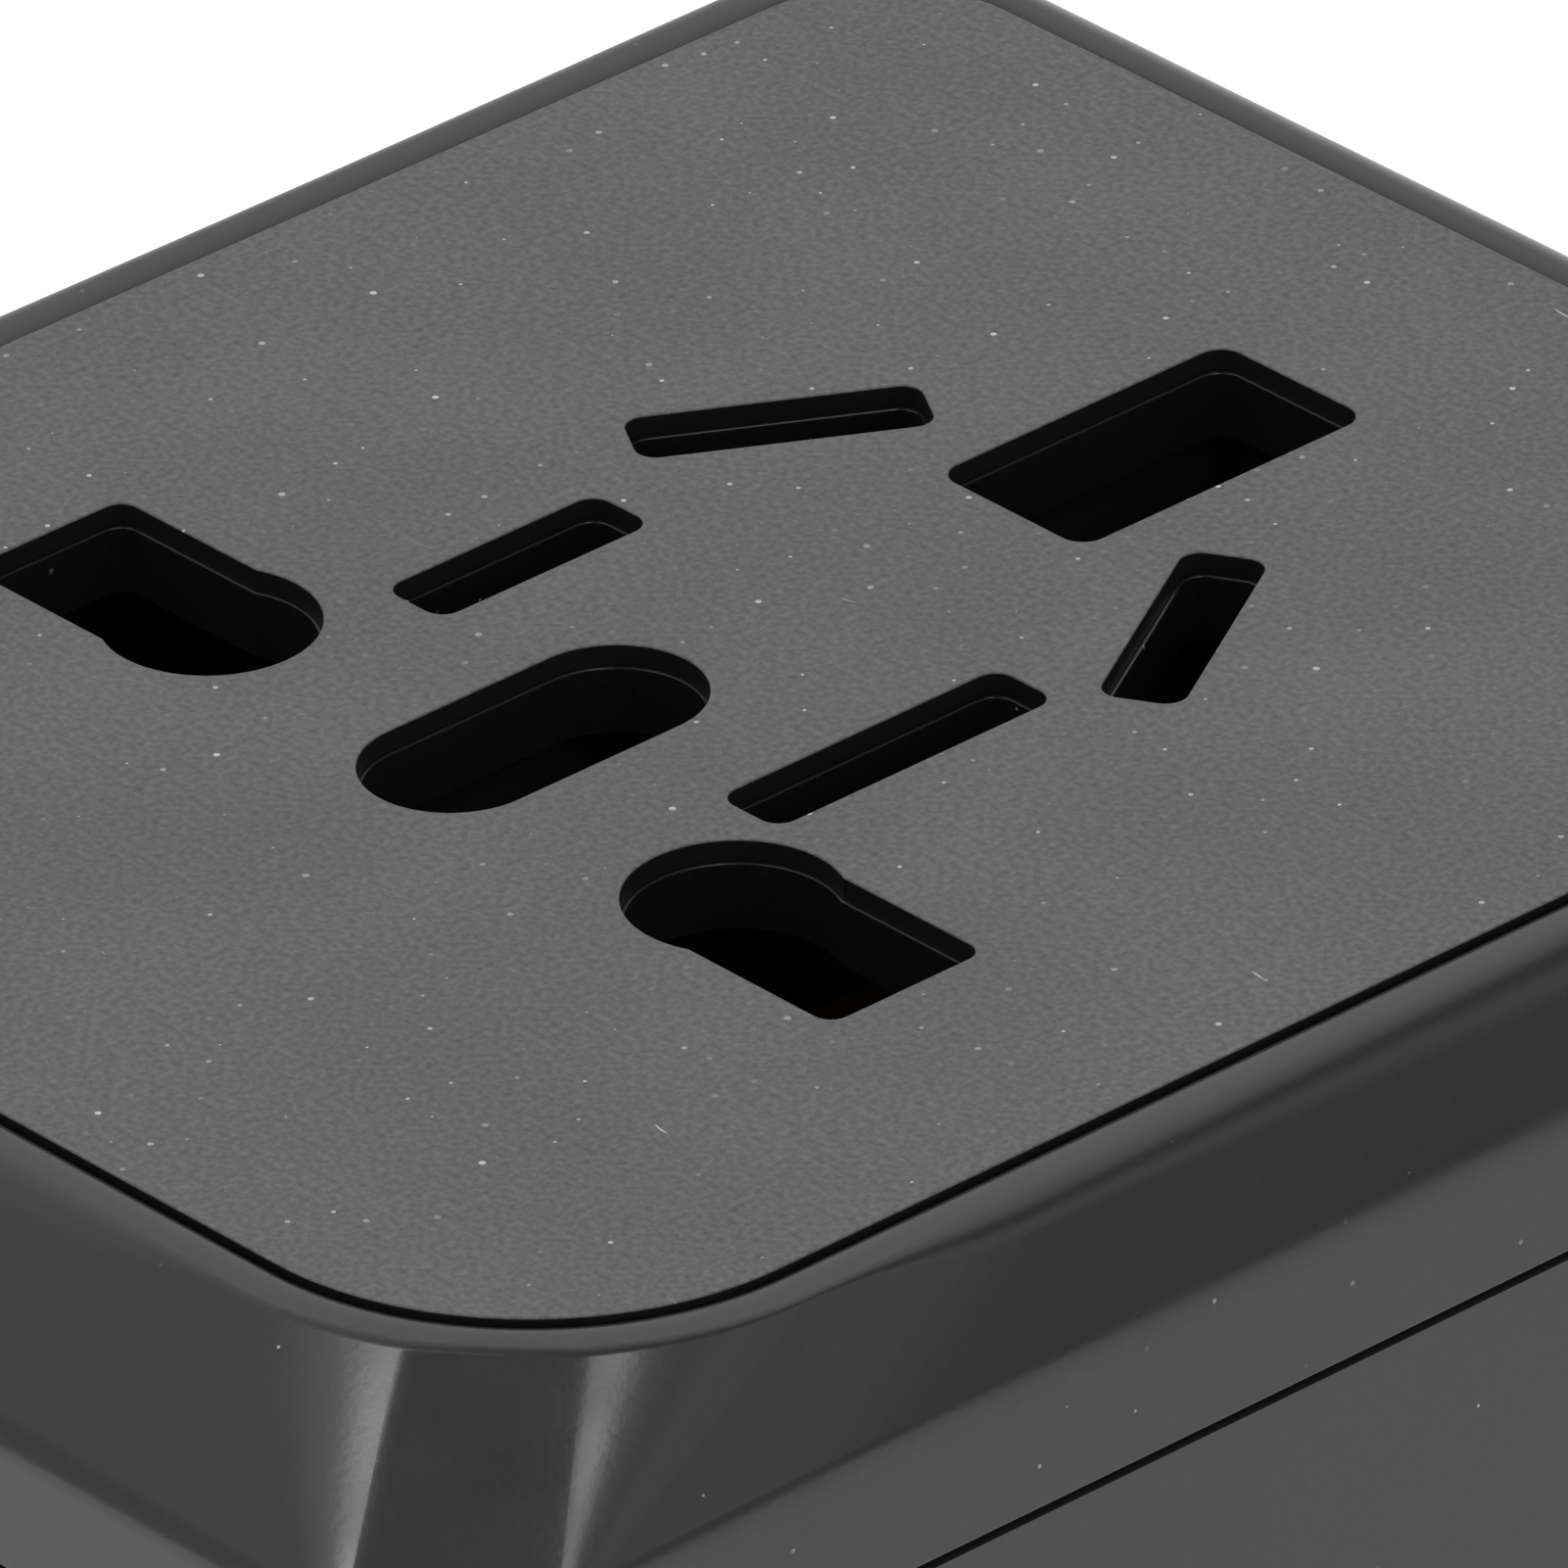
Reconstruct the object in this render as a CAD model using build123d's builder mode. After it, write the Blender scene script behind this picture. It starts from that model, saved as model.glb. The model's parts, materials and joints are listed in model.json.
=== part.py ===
from build123d import *
import os
from math import atan2, cos, degrees, hypot, radians, sin

os.makedirs("parts", exist_ok=True)

# Body, in millimetres. X runs across the slider sides, Y along the body, Z up from the plug face.
body_width = 51.4
body_length = 64.8
wall = 2.0
corner_cut_x = 3.6
corner_cut_y = 4.6
outer_blend = 1.2
inner_blend = 1.0
foot_gap = 0.4
foot_round = 1.0
slip = 0.1

# Top shell and the flat panel let into it
panel_width = 46.37
panel_length = 54.36
panel_corner = 8.2
panel_thick = 0.6
panel_gap = 0.3
rim_width = 1.4
rim_round = 0.8
facet_start = 36.0
facet_end = 60.5
chamfer_drop = 3.85
shoulder_height = 3.6
seam_gap = 0.2
deck_thick = 1.8
deck_lap = 0.1
groove_width = 0.6
groove_depth = 0.6
lip_thick = 1.2
lip_height = 2.5
snap_length = 10.0
snap_height = 0.8
snap_proud = 0.3
snap_play = 0.1

# Socket cut-outs, measured from the middle of the line through the live and neutral holes
pin_line = -7.81
earth_slot_y = 22.2
earth_slot_width = 5.13
earth_slot_length = 9.44
earth_slot_round = 0.65
oval_y = 2.03
oval_width = 4.61
oval_length = 9.755
keyhole_x = 9.29
keyhole_bore = 5.4
keyhole_reach = 15.3
keyhole_height = 4.91
keyhole_round = 0.5
flat_slot_x = 6.55
flat_slot_y = 7.44
flat_slot_width = 2.08
flat_slot_short = 6.81
flat_slot_long = 8.99
lean_slot_x = 7.155
lean_slot_y = 16.51
lean_slot_width = 2.13
lean_slot_length = 7.41
lean_angle = 30.0
blade_slot_round = 0.55

# Contact block and its brass contacts
block_width = 38.0
block_front = -14.0
block_back = 21.5
block_depth = 22.1
block_floor = 1.5
tunnel_play = 0.2
tunnel_floor = 1.0
pocket_inner = 4.2
pocket_outer = 17.2
pocket_front = -12.0
pocket_back = 13.4
lug_thick = 2.5
lug_width = 5.2
lug_reach = 6.0
shell_boss_length = 6.0
shell_boss_radius = 2.4
block_screw_x = 12.0
leaf_top_depth = 7.5
leaf_thick = 0.6
leaf_flare = 0.4
leaf_flare_height = 1.6
round_pin_gap = 3.8
blade_gap = 1.3
contact_margin = 0.6
contact_base_thick = 0.8
keyhole_leaf_x = 11.3
keyhole_leaf_length = 7.8
flat_leaf_length = 7.0
lean_leaf_length = 5.6
tail_play = 0.1
tail_y = 8.5
tail_width = 3.0
tail_thick = 1.0

# Plug face: cover, pins and their carriages
base_thick = 2.0
face_play = 0.3
carriage_play = 0.2
carriage_thick = 3.0
carriage_headroom = 1.4
slider_stop = 0.1
tip_recess = 0.5

uk_line_y = -8.6
uk_pin_x = 11.1
uk_earth_reach = 22.2
uk_pin_width = 6.35
uk_pin_depth = 4.0
uk_pin_length = 17.7
uk_earth_width = 4.0
uk_earth_depth = 8.0
uk_earth_length = 22.7
uk_sleeve_length = 9.0
uk_sleeve_wall = 0.6
pin_tip_chamfer = 0.9

eu_line_y = -19.5
eu_pin_x = 9.5
eu_pin_diameter = 4.0
eu_pin_length = 19.0
eu_bare_length = 9.0
eu_sleeve_diameter = 3.6
eu_core_diameter = 2.8
eu_tip_round = 1.5

blade_pivot_x = 6.35
blade_pivot_y = 0.4
blade_offset = 1.0
blade_thick = 1.5
blade_width = 6.3
blade_length = 16.5
blade_root_width = 4.4
blade_turn = 30.0
rotor_radius = 3.4
rotor_flange_radius = 4.0
rotor_flange_thick = 0.9
turning_play = 0.05

pin_fit = 0.05
carriage_border = 1.0
rotor_stand = 0.1
uk_root_width = 4.4
uk_root_depth = 2.6
uk_earth_root_width = 2.4
uk_earth_root_depth = 5.0
uk_bar_width = 6.8
uk_bar_end = 1.6
uk_side_inner = 14.5
uk_side_outer = 21.0
uk_earth_pad = 3.4
uk_earth_arm_width = 9.2
eu_carriage_width = 27.0
eu_carriage_length = 8.0
tab_width = 3.0
tab_thick = 0.8

# Slider knobs and the tracks that they run in
slot_width = 4.3
arm_width = 4.0
shoe_width = 8.0
shoe_thick = 1.5
track_depth = 0.8
track_border = 0.5
track_corner = 2.0
knob_width = 11.0
knob_height = 10.0
knob_drop = 0.0
knob_proud = 1.5
knob_play = 0.15
knob_corner = 1.8
knob_lap = 1.0
rib_count = 4
rib_pitch = 1.9
rib_width = 0.9
rib_depth = 0.5
uk_slider_y = 3.0
eu_slider_y = -19.5
us_slider_y = 0.4

# Middle plate, bosses and screws
plate_thick = 2.0
boss_radius = 3.2
boss_sink = 0.4
screw_radius = 1.2
screw_play = 0.05
screw_passage = 1.5
screw_head_radius = 2.3
screw_head_height = 1.4
screw_length = 9.0

# Brass bus strips that the pins' tabs run against
bus_thick = 0.8
bus_touch = 0.15
bus_pocket_depth = 1.0
bus_pocket_play = 0.2
round_bus_width = 5.5
round_bus_x = 10.25
round_bus_y = -14.05
blade_bus_width = 4.0
blade_bus_x = 7.0
blade_bus_y = 6.3
link_width = 1.6
link_x = 8.25
riser_y = -3.0

# Converter on its board. Its room is the height between the board and the contact block.
converter_room = 12.1
standoff_height = 2.0
standoff_radius = 2.2
board_margin_x = 2.7
board_margin_y = 3.4
board_thick = 1.6
board_corner = 3.0
screw_head_chamfer = 0.4
countersink_angle = 82.0
head_recess = 0.1
board_screw_length = 5.0
board_screw_inset_x = 2.12
board_screw_inset_y = 4.64
core_width = 28.0
core_length = 24.0
core_stack = 6.0
core_leg = 9.0
core_window = 4.8
core_x = -5.0
core_y = -9.0
bobbin_clearance = 0.9
bobbin_wall = 0.8
bobbin_play = 0.15
winding_inset = 0.5
capacitor_radius = 4.0
capacitor_clearance = 1.1
capacitor_x = 11.0
capacitor_y = 12.0
film_width = 5.0
film_length = 12.0
film_clearance = 2.6
film_x = 3.5
film_y = 10.0
sink_width = 13.4
sink_back = 2.4
sink_clearance = 1.3
fin_length = 6.0
fin_thick = 1.1
fin_pitch = 3.075
fin_count = 5
sink_x = -7.7
sink_inset = 14.4
triac_width = 10.0
triac_thick = 4.3
triac_clearance = 1.9
triac_lead = 0.8
triac_lead_pitch = 2.54
triac_lift = 1.2
film_round = 0.6
can_round = 0.5
fuse_x = 16.5
fuse_inset = 13.0
fuse_radius = 2.5
fuse_length = 20.0
cap_length = 5.0
glass_radius = 2.3
clip_width = 4.0
clip_thick = 0.5
clip_lift = 0.8

# Mode switch, indicator and vents in the far end wall
switch_x = 5.0
switch_lift = 5.1
switch_travel = 4.0
switch_knob_width = 5.0
switch_knob_height = 4.4
switch_recess_depth = 1.0
switch_play = 0.25
stem_width = 2.4
stem_height = 1.8
switch_body_width = 12.0
switch_body_length = 6.0
switch_body_height = 8.0
switch_body_gap = 0.1
lamp_x = 16.5
lamp_radius = 1.5
lamp_flange = 2.2
lamp_flange_thick = 1.0
led_length = 4.5
led_gap = 0.1
led_leg = 0.5
led_leg_pitch = 2.54
lever_pocket_depth = 1.6
lever_pocket_margin = 0.4
stem_bite = 1.2
vent_count = 7
vent_width = 1.0
vent_height = 9.0
vent_pitch = 2.4
vent_x = -9.5

# Heights that follow from the sizes above, stacked up from the plug face
pin_room = base_thick + carriage_play
carriage_z = tip_recess + uk_earth_length + pin_room
carriage_top = carriage_z + carriage_thick
travel = carriage_z - pin_room
plate_z = carriage_top + carriage_headroom
plate_top = plate_z + plate_thick
board_z = plate_top + standoff_height
board_top = board_z + board_thick
switch_z = board_top + switch_lift
block_bottom = board_top + converter_room
deck_bottom = block_bottom + block_depth
deck_top = deck_bottom + deck_thick
body_height = deck_top + panel_thick
chamfer_z = body_height - chamfer_drop
seam_z = chamfer_z - shoulder_height
housing_top = seam_z - seam_gap
shell_wall = wall + slip + lip_thick
face_y = body_length / 2

facet_length = hypot(corner_cut_x, corner_cut_y)
facet_angle = degrees(atan2(corner_cut_x, corner_cut_y))
facet_normal = (corner_cut_y / facet_length, corner_cut_x / facet_length)
boss_depth = wall + boss_radius - boss_sink
boss_x = body_width / 2 - corner_cut_x / 2 - facet_normal[0] * boss_depth
boss_y = body_length / 2 - corner_cut_y / 2 - facet_normal[1] * boss_depth
boss_places = [(boss_x, boss_y), (-boss_x, boss_y), (-boss_x, -boss_y), (boss_x, -boss_y)]
board_width = body_width - 2 * wall - 2 * board_margin_x
board_length = body_length - 2 * wall - 2 * board_margin_y
board_screw_x = boss_x - board_screw_inset_x
board_screw_y = boss_y - board_screw_inset_y
block_screw_front = block_front - lug_reach / 2
block_screw_back = block_back + lug_reach / 2
block_screw_places = [
    (block_screw_x, block_screw_front),
    (-block_screw_x, block_screw_front),
    (block_screw_x, block_screw_back),
    (-block_screw_x, block_screw_back),
]


def body_section(inset, blend):
    """Outline of the body: four sides and four sloping corners, moved inwards by inset."""
    half_x = body_width / 2 - inset
    half_y = body_length / 2 - inset
    reach = facet_normal[0] * body_width / 2 + facet_normal[1] * (face_y - corner_cut_y) - inset
    near_x = (reach - facet_normal[1] * half_y) / facet_normal[0]
    near_y = (reach - facet_normal[0] * half_x) / facet_normal[1]
    corner = [(half_x, near_y), (near_x, half_y)]
    left = [(-x, y) for x, y in reversed(corner)]
    lower = [(-x, -y) for x, y in corner + left]
    with BuildSketch(Plane.XY) as section:
        with BuildLine():
            Polyline(*corner, *left, *lower, close=True)
        make_face()
        fillet(section.vertices(), radius=blend)
    return section.sketch


def rim_section():
    """Outline of the shell's top edge: two arcs in each corner, with a straight facet between them."""
    border = panel_gap + rim_width
    half_x = panel_width / 2 + border
    half_y = panel_length / 2 + border
    radius = panel_corner + border
    corners = (
        (1, 1, (0, facet_start, facet_end, 90)),
        (-1, 1, (90, 180 - facet_end, 180 - facet_start, 180)),
        (-1, -1, (180, 180 + facet_start, 180 + facet_end, 270)),
        (1, -1, (270, 360 - facet_end, 360 - facet_start, 360)),
    )
    straight_x = half_x - radius
    straight_y = half_y - radius
    with BuildSketch(Plane.XY) as section:
        with BuildLine():
            for sign_x, sign_y, angles in corners:
                centre = (sign_x * straight_x, sign_y * straight_y)
                before = CenterArc(centre, radius, angles[0], angles[1] - angles[0])
                after = CenterArc(centre, radius, angles[2], angles[3] - angles[2])
                Line(before @ 1, after @ 0)
            for side in (1, -1):
                Line((straight_x, side * half_y), (-straight_x, side * half_y))
                Line((side * half_x, straight_y), (side * half_x, -straight_y))
        make_face()
    return section.sketch


def panel_outline(grow):
    """Rounded outline of the face panel, moved outwards by grow."""
    with BuildSketch(Plane.XY) as outline:
        RectangleRounded(panel_width + 2 * grow, panel_length + 2 * grow, panel_corner + grow)
    return outline.sketch


def socket_holes(grow):
    """The cut-outs of the socket face, each side moved outwards by grow."""
    keyhole_lap = 1.0
    slab = keyhole_reach - keyhole_x + keyhole_lap + grow
    with BuildSketch(Plane.XY) as holes:
        with Locations((0, pin_line + earth_slot_y)):
            RectangleRounded(earth_slot_width + 2 * grow, earth_slot_length + 2 * grow, earth_slot_round)
        with Locations((0, pin_line + oval_y)):
            SlotOverall(oval_length + 2 * grow, oval_width + 2 * grow, rotation=90)
        for side, flat_length in ((-1, flat_slot_short), (1, flat_slot_long)):
            with Locations((side * flat_slot_x, pin_line + flat_slot_y)):
                RectangleRounded(flat_slot_width + 2 * grow, flat_length + 2 * grow, blade_slot_round)
            with Locations((side * lean_slot_x, pin_line + lean_slot_y)):
                RectangleRounded(
                    lean_slot_width + 2 * grow,
                    lean_slot_length + 2 * grow,
                    blade_slot_round,
                    rotation=side * lean_angle,
                )
            with Locations((side * keyhole_x, pin_line)):
                Circle(keyhole_bore / 2 + grow)
            with Locations((side * (keyhole_x - keyhole_lap + slab / 2), pin_line)):
                RectangleRounded(slab, keyhole_height + 2 * grow, keyhole_round)
    return holes.sketch


def bow_tie(side, play):
    """The opening that a turning blade sweeps about its pivot, with play all round."""
    reach = blade_width / 2 + blade_offset + play
    steps = 4
    with BuildSketch(Plane.XY) as opening:
        with Locations((side * blade_pivot_x, blade_pivot_y)):
            Circle(reach)
        with BuildSketch(Plane.XY, mode=Mode.INTERSECT):
            with Locations((side * blade_pivot_x, blade_pivot_y)):
                for step in range(steps):
                    turn = side * blade_turn * step / (steps - 1)
                    Rectangle(blade_thick + 2 * play, 3 * reach, rotation=turn)
    return opening.sketch


def slider_plane(side, slider_y, x):
    """Plane on a slider side, its own Y along the body's Z."""
    return Plane(origin=(side * x, slider_y, 0), x_dir=(0, side, 0), z_dir=(side, 0, 0))


def end_plane(x, y):
    """Plane facing the far end, its own Y along the body's Z."""
    return Plane(origin=(x, y, 0), x_dir=(-1, 0, 0), z_dir=(0, 1, 0))


def snap_beads(inset, reach, length):
    """Four bars, one at the middle of each side, standing reach out from the outline at inset."""
    place_x = body_width / 2 - inset + reach / 2
    place_y = body_length / 2 - inset + reach / 2
    with BuildSketch(Plane.XY) as beads:
        with Locations((place_x, 0), (-place_x, 0)):
            Rectangle(reach, length)
        with Locations((0, place_y), (0, -place_y)):
            Rectangle(length, reach)
    return beads.sketch


snap_z = seam_z - lip_height / 2
sliders = [(1, uk_slider_y), (-1, eu_slider_y), (-1, us_slider_y)]

# Face panel: the thin flat plate with the socket cut-outs
with BuildPart() as face_panel:
    with BuildSketch(Plane.XY.offset(deck_top)):
        add(panel_outline(0))
        add(socket_holes(0), mode=Mode.SUBTRACT)
    extrude(amount=panel_thick)
face_panel.part.label = "face_panel"
export_step(face_panel.part, "parts/face_panel.step")

# Top shell: rounded rim at the top, sloping sides and corners, and a lip inside the housing
with BuildPart() as top_shell:
    with BuildSketch(Plane.XY.offset(seam_z)):
        add(body_section(0, outer_blend))
    extrude(amount=shoulder_height)
    with BuildSketch(Plane.XY.offset(chamfer_z)):
        add(body_section(0, outer_blend))
    with BuildSketch(Plane.XY.offset(body_height)):
        add(rim_section())
    loft(ruled=True)
    fillet(top_shell.faces().sort_by(Axis.Z)[-1].edges(), radius=rim_round)
    with BuildSketch(Plane.XY.offset(seam_z - lip_height)):
        add(body_section(wall + slip, inner_blend))
    extrude(amount=lip_height)
    with BuildSketch(Plane.XY.offset(seam_z - lip_height)):
        add(body_section(shell_wall, inner_blend))
    extrude(amount=deck_bottom - seam_z + lip_height, mode=Mode.SUBTRACT)
    with BuildSketch(Plane.XY.offset(snap_z - snap_height / 2)):
        add(snap_beads(shell_wall - lip_thick, snap_proud, snap_length))
    extrude(amount=snap_height)
    with BuildSketch(Plane.XY.offset(deck_bottom)):
        with Locations(*block_screw_places):
            Circle(shell_boss_radius)
    extrude(amount=-shell_boss_length)
    with BuildSketch(Plane.XY.offset(deck_bottom - shell_boss_length)):
        with Locations(*block_screw_places):
            Circle(screw_radius + screw_play)
    extrude(amount=shell_boss_length, mode=Mode.SUBTRACT)
    with BuildSketch(Plane.XY.offset(deck_top)):
        add(panel_outline(panel_gap))
    extrude(amount=panel_thick, mode=Mode.SUBTRACT)
    with BuildSketch(Plane.XY.offset(deck_top)):
        add(panel_outline(panel_gap))
        add(panel_outline(panel_gap - groove_width), mode=Mode.SUBTRACT)
    extrude(amount=-groove_depth, mode=Mode.SUBTRACT)
    with BuildSketch(Plane.XY.offset(deck_bottom)):
        add(socket_holes(-deck_lap))
    extrude(amount=deck_thick, mode=Mode.SUBTRACT)
top_shell.part.label = "top_shell"
export_step(top_shell.part, "parts/top_shell.step")

# Main housing: the long sleeve below the seam, with slider tracks, vents and screw bosses
knob_low = carriage_z - knob_drop
track_low = knob_low - travel - track_border
track_high = knob_low + knob_height + track_border
track_width = knob_width + 2 * track_border
slot_low = carriage_z - travel - slider_stop
slot_high = carriage_top + slider_stop
with BuildPart() as main_housing:
    with BuildSketch(Plane.XY.offset(foot_gap)):
        add(body_section(0, outer_blend))
    extrude(amount=housing_top - foot_gap)
    fillet(main_housing.faces().sort_by(Axis.Z)[0].edges(), radius=foot_round)
    with BuildSketch(Plane.XY.offset(foot_gap)):
        add(body_section(wall, inner_blend))
    extrude(amount=housing_top - foot_gap, mode=Mode.SUBTRACT)
    with BuildSketch(Plane.XY.offset(base_thick)):
        with Locations(*boss_places):
            Circle(boss_radius)
    extrude(amount=plate_z - base_thick)
    with BuildSketch(Plane.XY.offset(base_thick)):
        with Locations(*boss_places):
            Circle(screw_radius + screw_play)
    extrude(amount=plate_z - base_thick, mode=Mode.SUBTRACT)
    for side, slider_y in sliders:
        with BuildSketch(slider_plane(side, slider_y, body_width / 2 - track_depth)):
            with Locations((0, (track_low + track_high) / 2)):
                RectangleRounded(track_width, track_high - track_low, track_corner)
        extrude(amount=track_depth, mode=Mode.SUBTRACT)
        with BuildSketch(slider_plane(side, slider_y, body_width / 2 - wall)):
            with Locations((0, (slot_low + slot_high) / 2)):
                Rectangle(slot_width, slot_high - slot_low)
        extrude(amount=wall, mode=Mode.SUBTRACT)
    with BuildSketch(end_plane(vent_x, face_y - wall)):
        with Locations((0, switch_z)):
            with GridLocations(vent_pitch, 0, vent_count, 1):
                SlotOverall(vent_height, vent_width, rotation=90)
    extrude(amount=wall, mode=Mode.SUBTRACT)
    with BuildSketch(end_plane(switch_x + switch_travel / 2, face_y - switch_recess_depth)):
        with Locations((0, switch_z)):
            RectangleRounded(
                switch_knob_width + switch_travel + 2 * switch_play,
                switch_knob_height + 2 * switch_play,
                knob_corner / 2,
            )
    extrude(amount=switch_recess_depth, mode=Mode.SUBTRACT)
    with BuildSketch(end_plane(switch_x + switch_travel / 2, face_y - wall)):
        with Locations((0, switch_z)):
            Rectangle(stem_width + switch_travel + 2 * switch_play, stem_height + 2 * switch_play)
    extrude(amount=wall, mode=Mode.SUBTRACT)
    with BuildSketch(end_plane(lamp_x, face_y - wall)):
        with Locations((0, switch_z)):
            Circle(lamp_radius + turning_play)
    extrude(amount=wall, mode=Mode.SUBTRACT)
    with BuildSketch(Plane.XY.offset(snap_z - snap_height / 2 - snap_play)):
        add(snap_beads(wall, snap_proud, snap_length + 2 * snap_play))
    extrude(amount=snap_height + 2 * snap_play, mode=Mode.SUBTRACT)
main_housing.part.label = "main_housing"
export_step(main_housing.part, "parts/main_housing.step")

# Base cover: the plug face, with an opening for every pin and a countersink for each screw
bus_foot = base_thick - bus_pocket_depth
with BuildPart() as base_cover:
    with BuildSketch(Plane.XY):
        add(body_section(wall + slip, inner_blend))
    extrude(amount=base_thick)
    with BuildSketch(Plane.XY):
        for side in (-1, 1):
            with Locations((side * uk_pin_x, uk_line_y)):
                Rectangle(uk_pin_width + 2 * face_play, uk_pin_depth + 2 * face_play)
            with Locations((side * eu_pin_x, eu_line_y)):
                Circle(eu_pin_diameter / 2 + face_play)
            add(bow_tie(side, face_play))
        with Locations((0, uk_line_y + uk_earth_reach)):
            Rectangle(uk_earth_width + 2 * face_play, uk_earth_depth + 2 * face_play)
    extrude(amount=base_thick, mode=Mode.SUBTRACT)
    with BuildSketch(Plane.XY.offset(base_thick)):
        for side in (-1, 1):
            with Locations((side * round_bus_x, round_bus_y)):
                Rectangle(round_bus_width + 2 * bus_pocket_play, bus_thick + 2 * bus_pocket_play)
            with Locations((side * blade_bus_x, blade_bus_y)):
                Rectangle(blade_bus_width + 2 * bus_pocket_play, bus_thick + 2 * bus_pocket_play)
    extrude(amount=-bus_pocket_depth, mode=Mode.SUBTRACT)
    for x, y in boss_places:
        with Locations(Location((x, y, 0), (180, 0, 0))):
            CounterSinkHole(screw_passage, screw_head_radius + screw_play, depth=base_thick)
base_cover.part.label = "base_cover"
export_step(base_cover.part, "parts/base_cover.step")

# Middle plate: floor of the converter, screwed onto the housing bosses
with BuildPart() as middle_plate:
    with BuildSketch(Plane.XY.offset(plate_z)):
        add(body_section(wall + slip, inner_blend))
    extrude(amount=plate_thick)
    with BuildSketch(Plane.XY.offset(plate_top)):
        with GridLocations(2 * board_screw_x, 2 * board_screw_y, 2, 2):
            Circle(standoff_radius)
    extrude(amount=standoff_height)
    with BuildSketch(Plane.XY.offset(plate_z)):
        with GridLocations(2 * board_screw_x, 2 * board_screw_y, 2, 2):
            Circle(screw_radius + screw_play)
        with Locations(*boss_places):
            Circle(screw_passage)
        for side in (-1, 1):
            with Locations((side * round_bus_x, round_bus_y)):
                Rectangle(round_bus_width + 2 * bus_pocket_play, bus_thick + 2 * bus_pocket_play)
            with Locations((side * blade_bus_x, blade_bus_y)):
                Rectangle(blade_bus_width + 2 * bus_pocket_play, bus_thick + 2 * bus_pocket_play)
    extrude(amount=plate_thick + standoff_height, mode=Mode.SUBTRACT)
middle_plate.part.label = "middle_plate"
export_step(middle_plate.part, "parts/middle_plate.step")

# Contact block: hangs under the deck by four lugs, a pocket on each side and two blind tunnels
block_y = (block_front + block_back) / 2
block_length = block_back - block_front
contact_z = block_bottom + block_floor
lug_z = deck_bottom - shell_boss_length - lug_thick
tail_x = pocket_outer - contact_margin - tail_thick / 2
with BuildPart() as contact_block:
    with BuildSketch(Plane.XY.offset(block_bottom)):
        with Locations((0, block_y)):
            Rectangle(block_width, block_length)
    extrude(amount=block_depth)
    with BuildSketch(Plane.XY.offset(lug_z)):
        with Locations((block_screw_x, block_y), (-block_screw_x, block_y)):
            Rectangle(lug_width, block_length + 2 * lug_reach)
        with Locations(*block_screw_places):
            Circle(screw_passage, mode=Mode.SUBTRACT)
    extrude(amount=lug_thick)
    with BuildSketch(Plane.XY.offset(contact_z)):
        for side in (-1, 1):
            with Locations((side * (pocket_inner + pocket_outer) / 2, (pocket_front + pocket_back) / 2)):
                Rectangle(pocket_outer - pocket_inner, pocket_back - pocket_front)
    extrude(amount=deck_bottom - contact_z, mode=Mode.SUBTRACT)
    with BuildSketch(Plane.XY.offset(block_bottom + tunnel_floor)):
        with Locations((0, pin_line + earth_slot_y)):
            Rectangle(earth_slot_width + 2 * tunnel_play, earth_slot_length + 2 * tunnel_play)
        with Locations((0, pin_line + oval_y)):
            Rectangle(oval_width + 2 * tunnel_play, oval_length + 2 * tunnel_play)
    extrude(amount=block_depth, mode=Mode.SUBTRACT)
    with BuildSketch(Plane.XY.offset(block_bottom)):
        for side in (-1, 1):
            with Locations((side * tail_x, tail_y)):
                Rectangle(tail_thick + 2 * tail_play, tail_width + 2 * tail_play)
    extrude(amount=block_floor, mode=Mode.SUBTRACT)
contact_block.part.label = "contact_block"
export_step(contact_block.part, "parts/contact_block.step")


def leaf_pair(gap):
    """End view of two facing spring leaves: upright strips with their tops bent apart."""
    inner, outer = gap / 2, gap / 2 + leaf_thick
    top = body_height - leaf_top_depth
    bend = top - leaf_flare_height
    with BuildSketch(Plane.XY) as pair:
        with BuildLine():
            Polyline(
                (inner, contact_z),
                (outer, contact_z),
                (outer, bend),
                (outer + leaf_flare, top),
                (inner + leaf_flare, top),
                (inner, bend),
                close=True,
            )
        make_face()
        mirror(about=Plane.YZ)
    return pair.sketch


def leaf_plane(x, y, turn):
    """Plane across a pair of leaves: its own X is the direction that they press in."""
    across = (cos(radians(turn)), sin(radians(turn)), 0)
    along = (across[1], -across[0], 0)
    return Plane(origin=(x, y, 0), x_dir=across, z_dir=along)


# Live and neutral contacts: one brass pressing on each side, with leaves under every hole
for side, label in ((1, "live_contact"), (-1, "neutral_contact")):
    leaves = (
        (keyhole_leaf_x, pin_line, 90, round_pin_gap, keyhole_leaf_length),
        (flat_slot_x, pin_line + flat_slot_y, 0, blade_gap, flat_leaf_length),
        (lean_slot_x, pin_line + lean_slot_y, side * lean_angle, blade_gap, lean_leaf_length),
    )
    with BuildPart() as contact:
        with BuildSketch(Plane.XY.offset(contact_z)):
            with Locations((side * (pocket_inner + pocket_outer) / 2, (pocket_front + pocket_back) / 2)):
                Rectangle(
                    pocket_outer - pocket_inner - 2 * contact_margin,
                    pocket_back - pocket_front - 2 * contact_margin,
                )
        extrude(amount=contact_base_thick)
        for leaf_x, leaf_y, turn, gap, length in leaves:
            with BuildSketch(leaf_plane(side * leaf_x, leaf_y, turn)):
                add(leaf_pair(gap))
            extrude(amount=length / 2, both=True)
        with BuildSketch(Plane.XY.offset(board_top)):
            with Locations((side * tail_x, tail_y)):
                Rectangle(tail_thick, tail_width)
        extrude(amount=contact_z - board_top)
    contact.part.label = label
    export_step(contact.part, f"parts/{label}.step")

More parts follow.
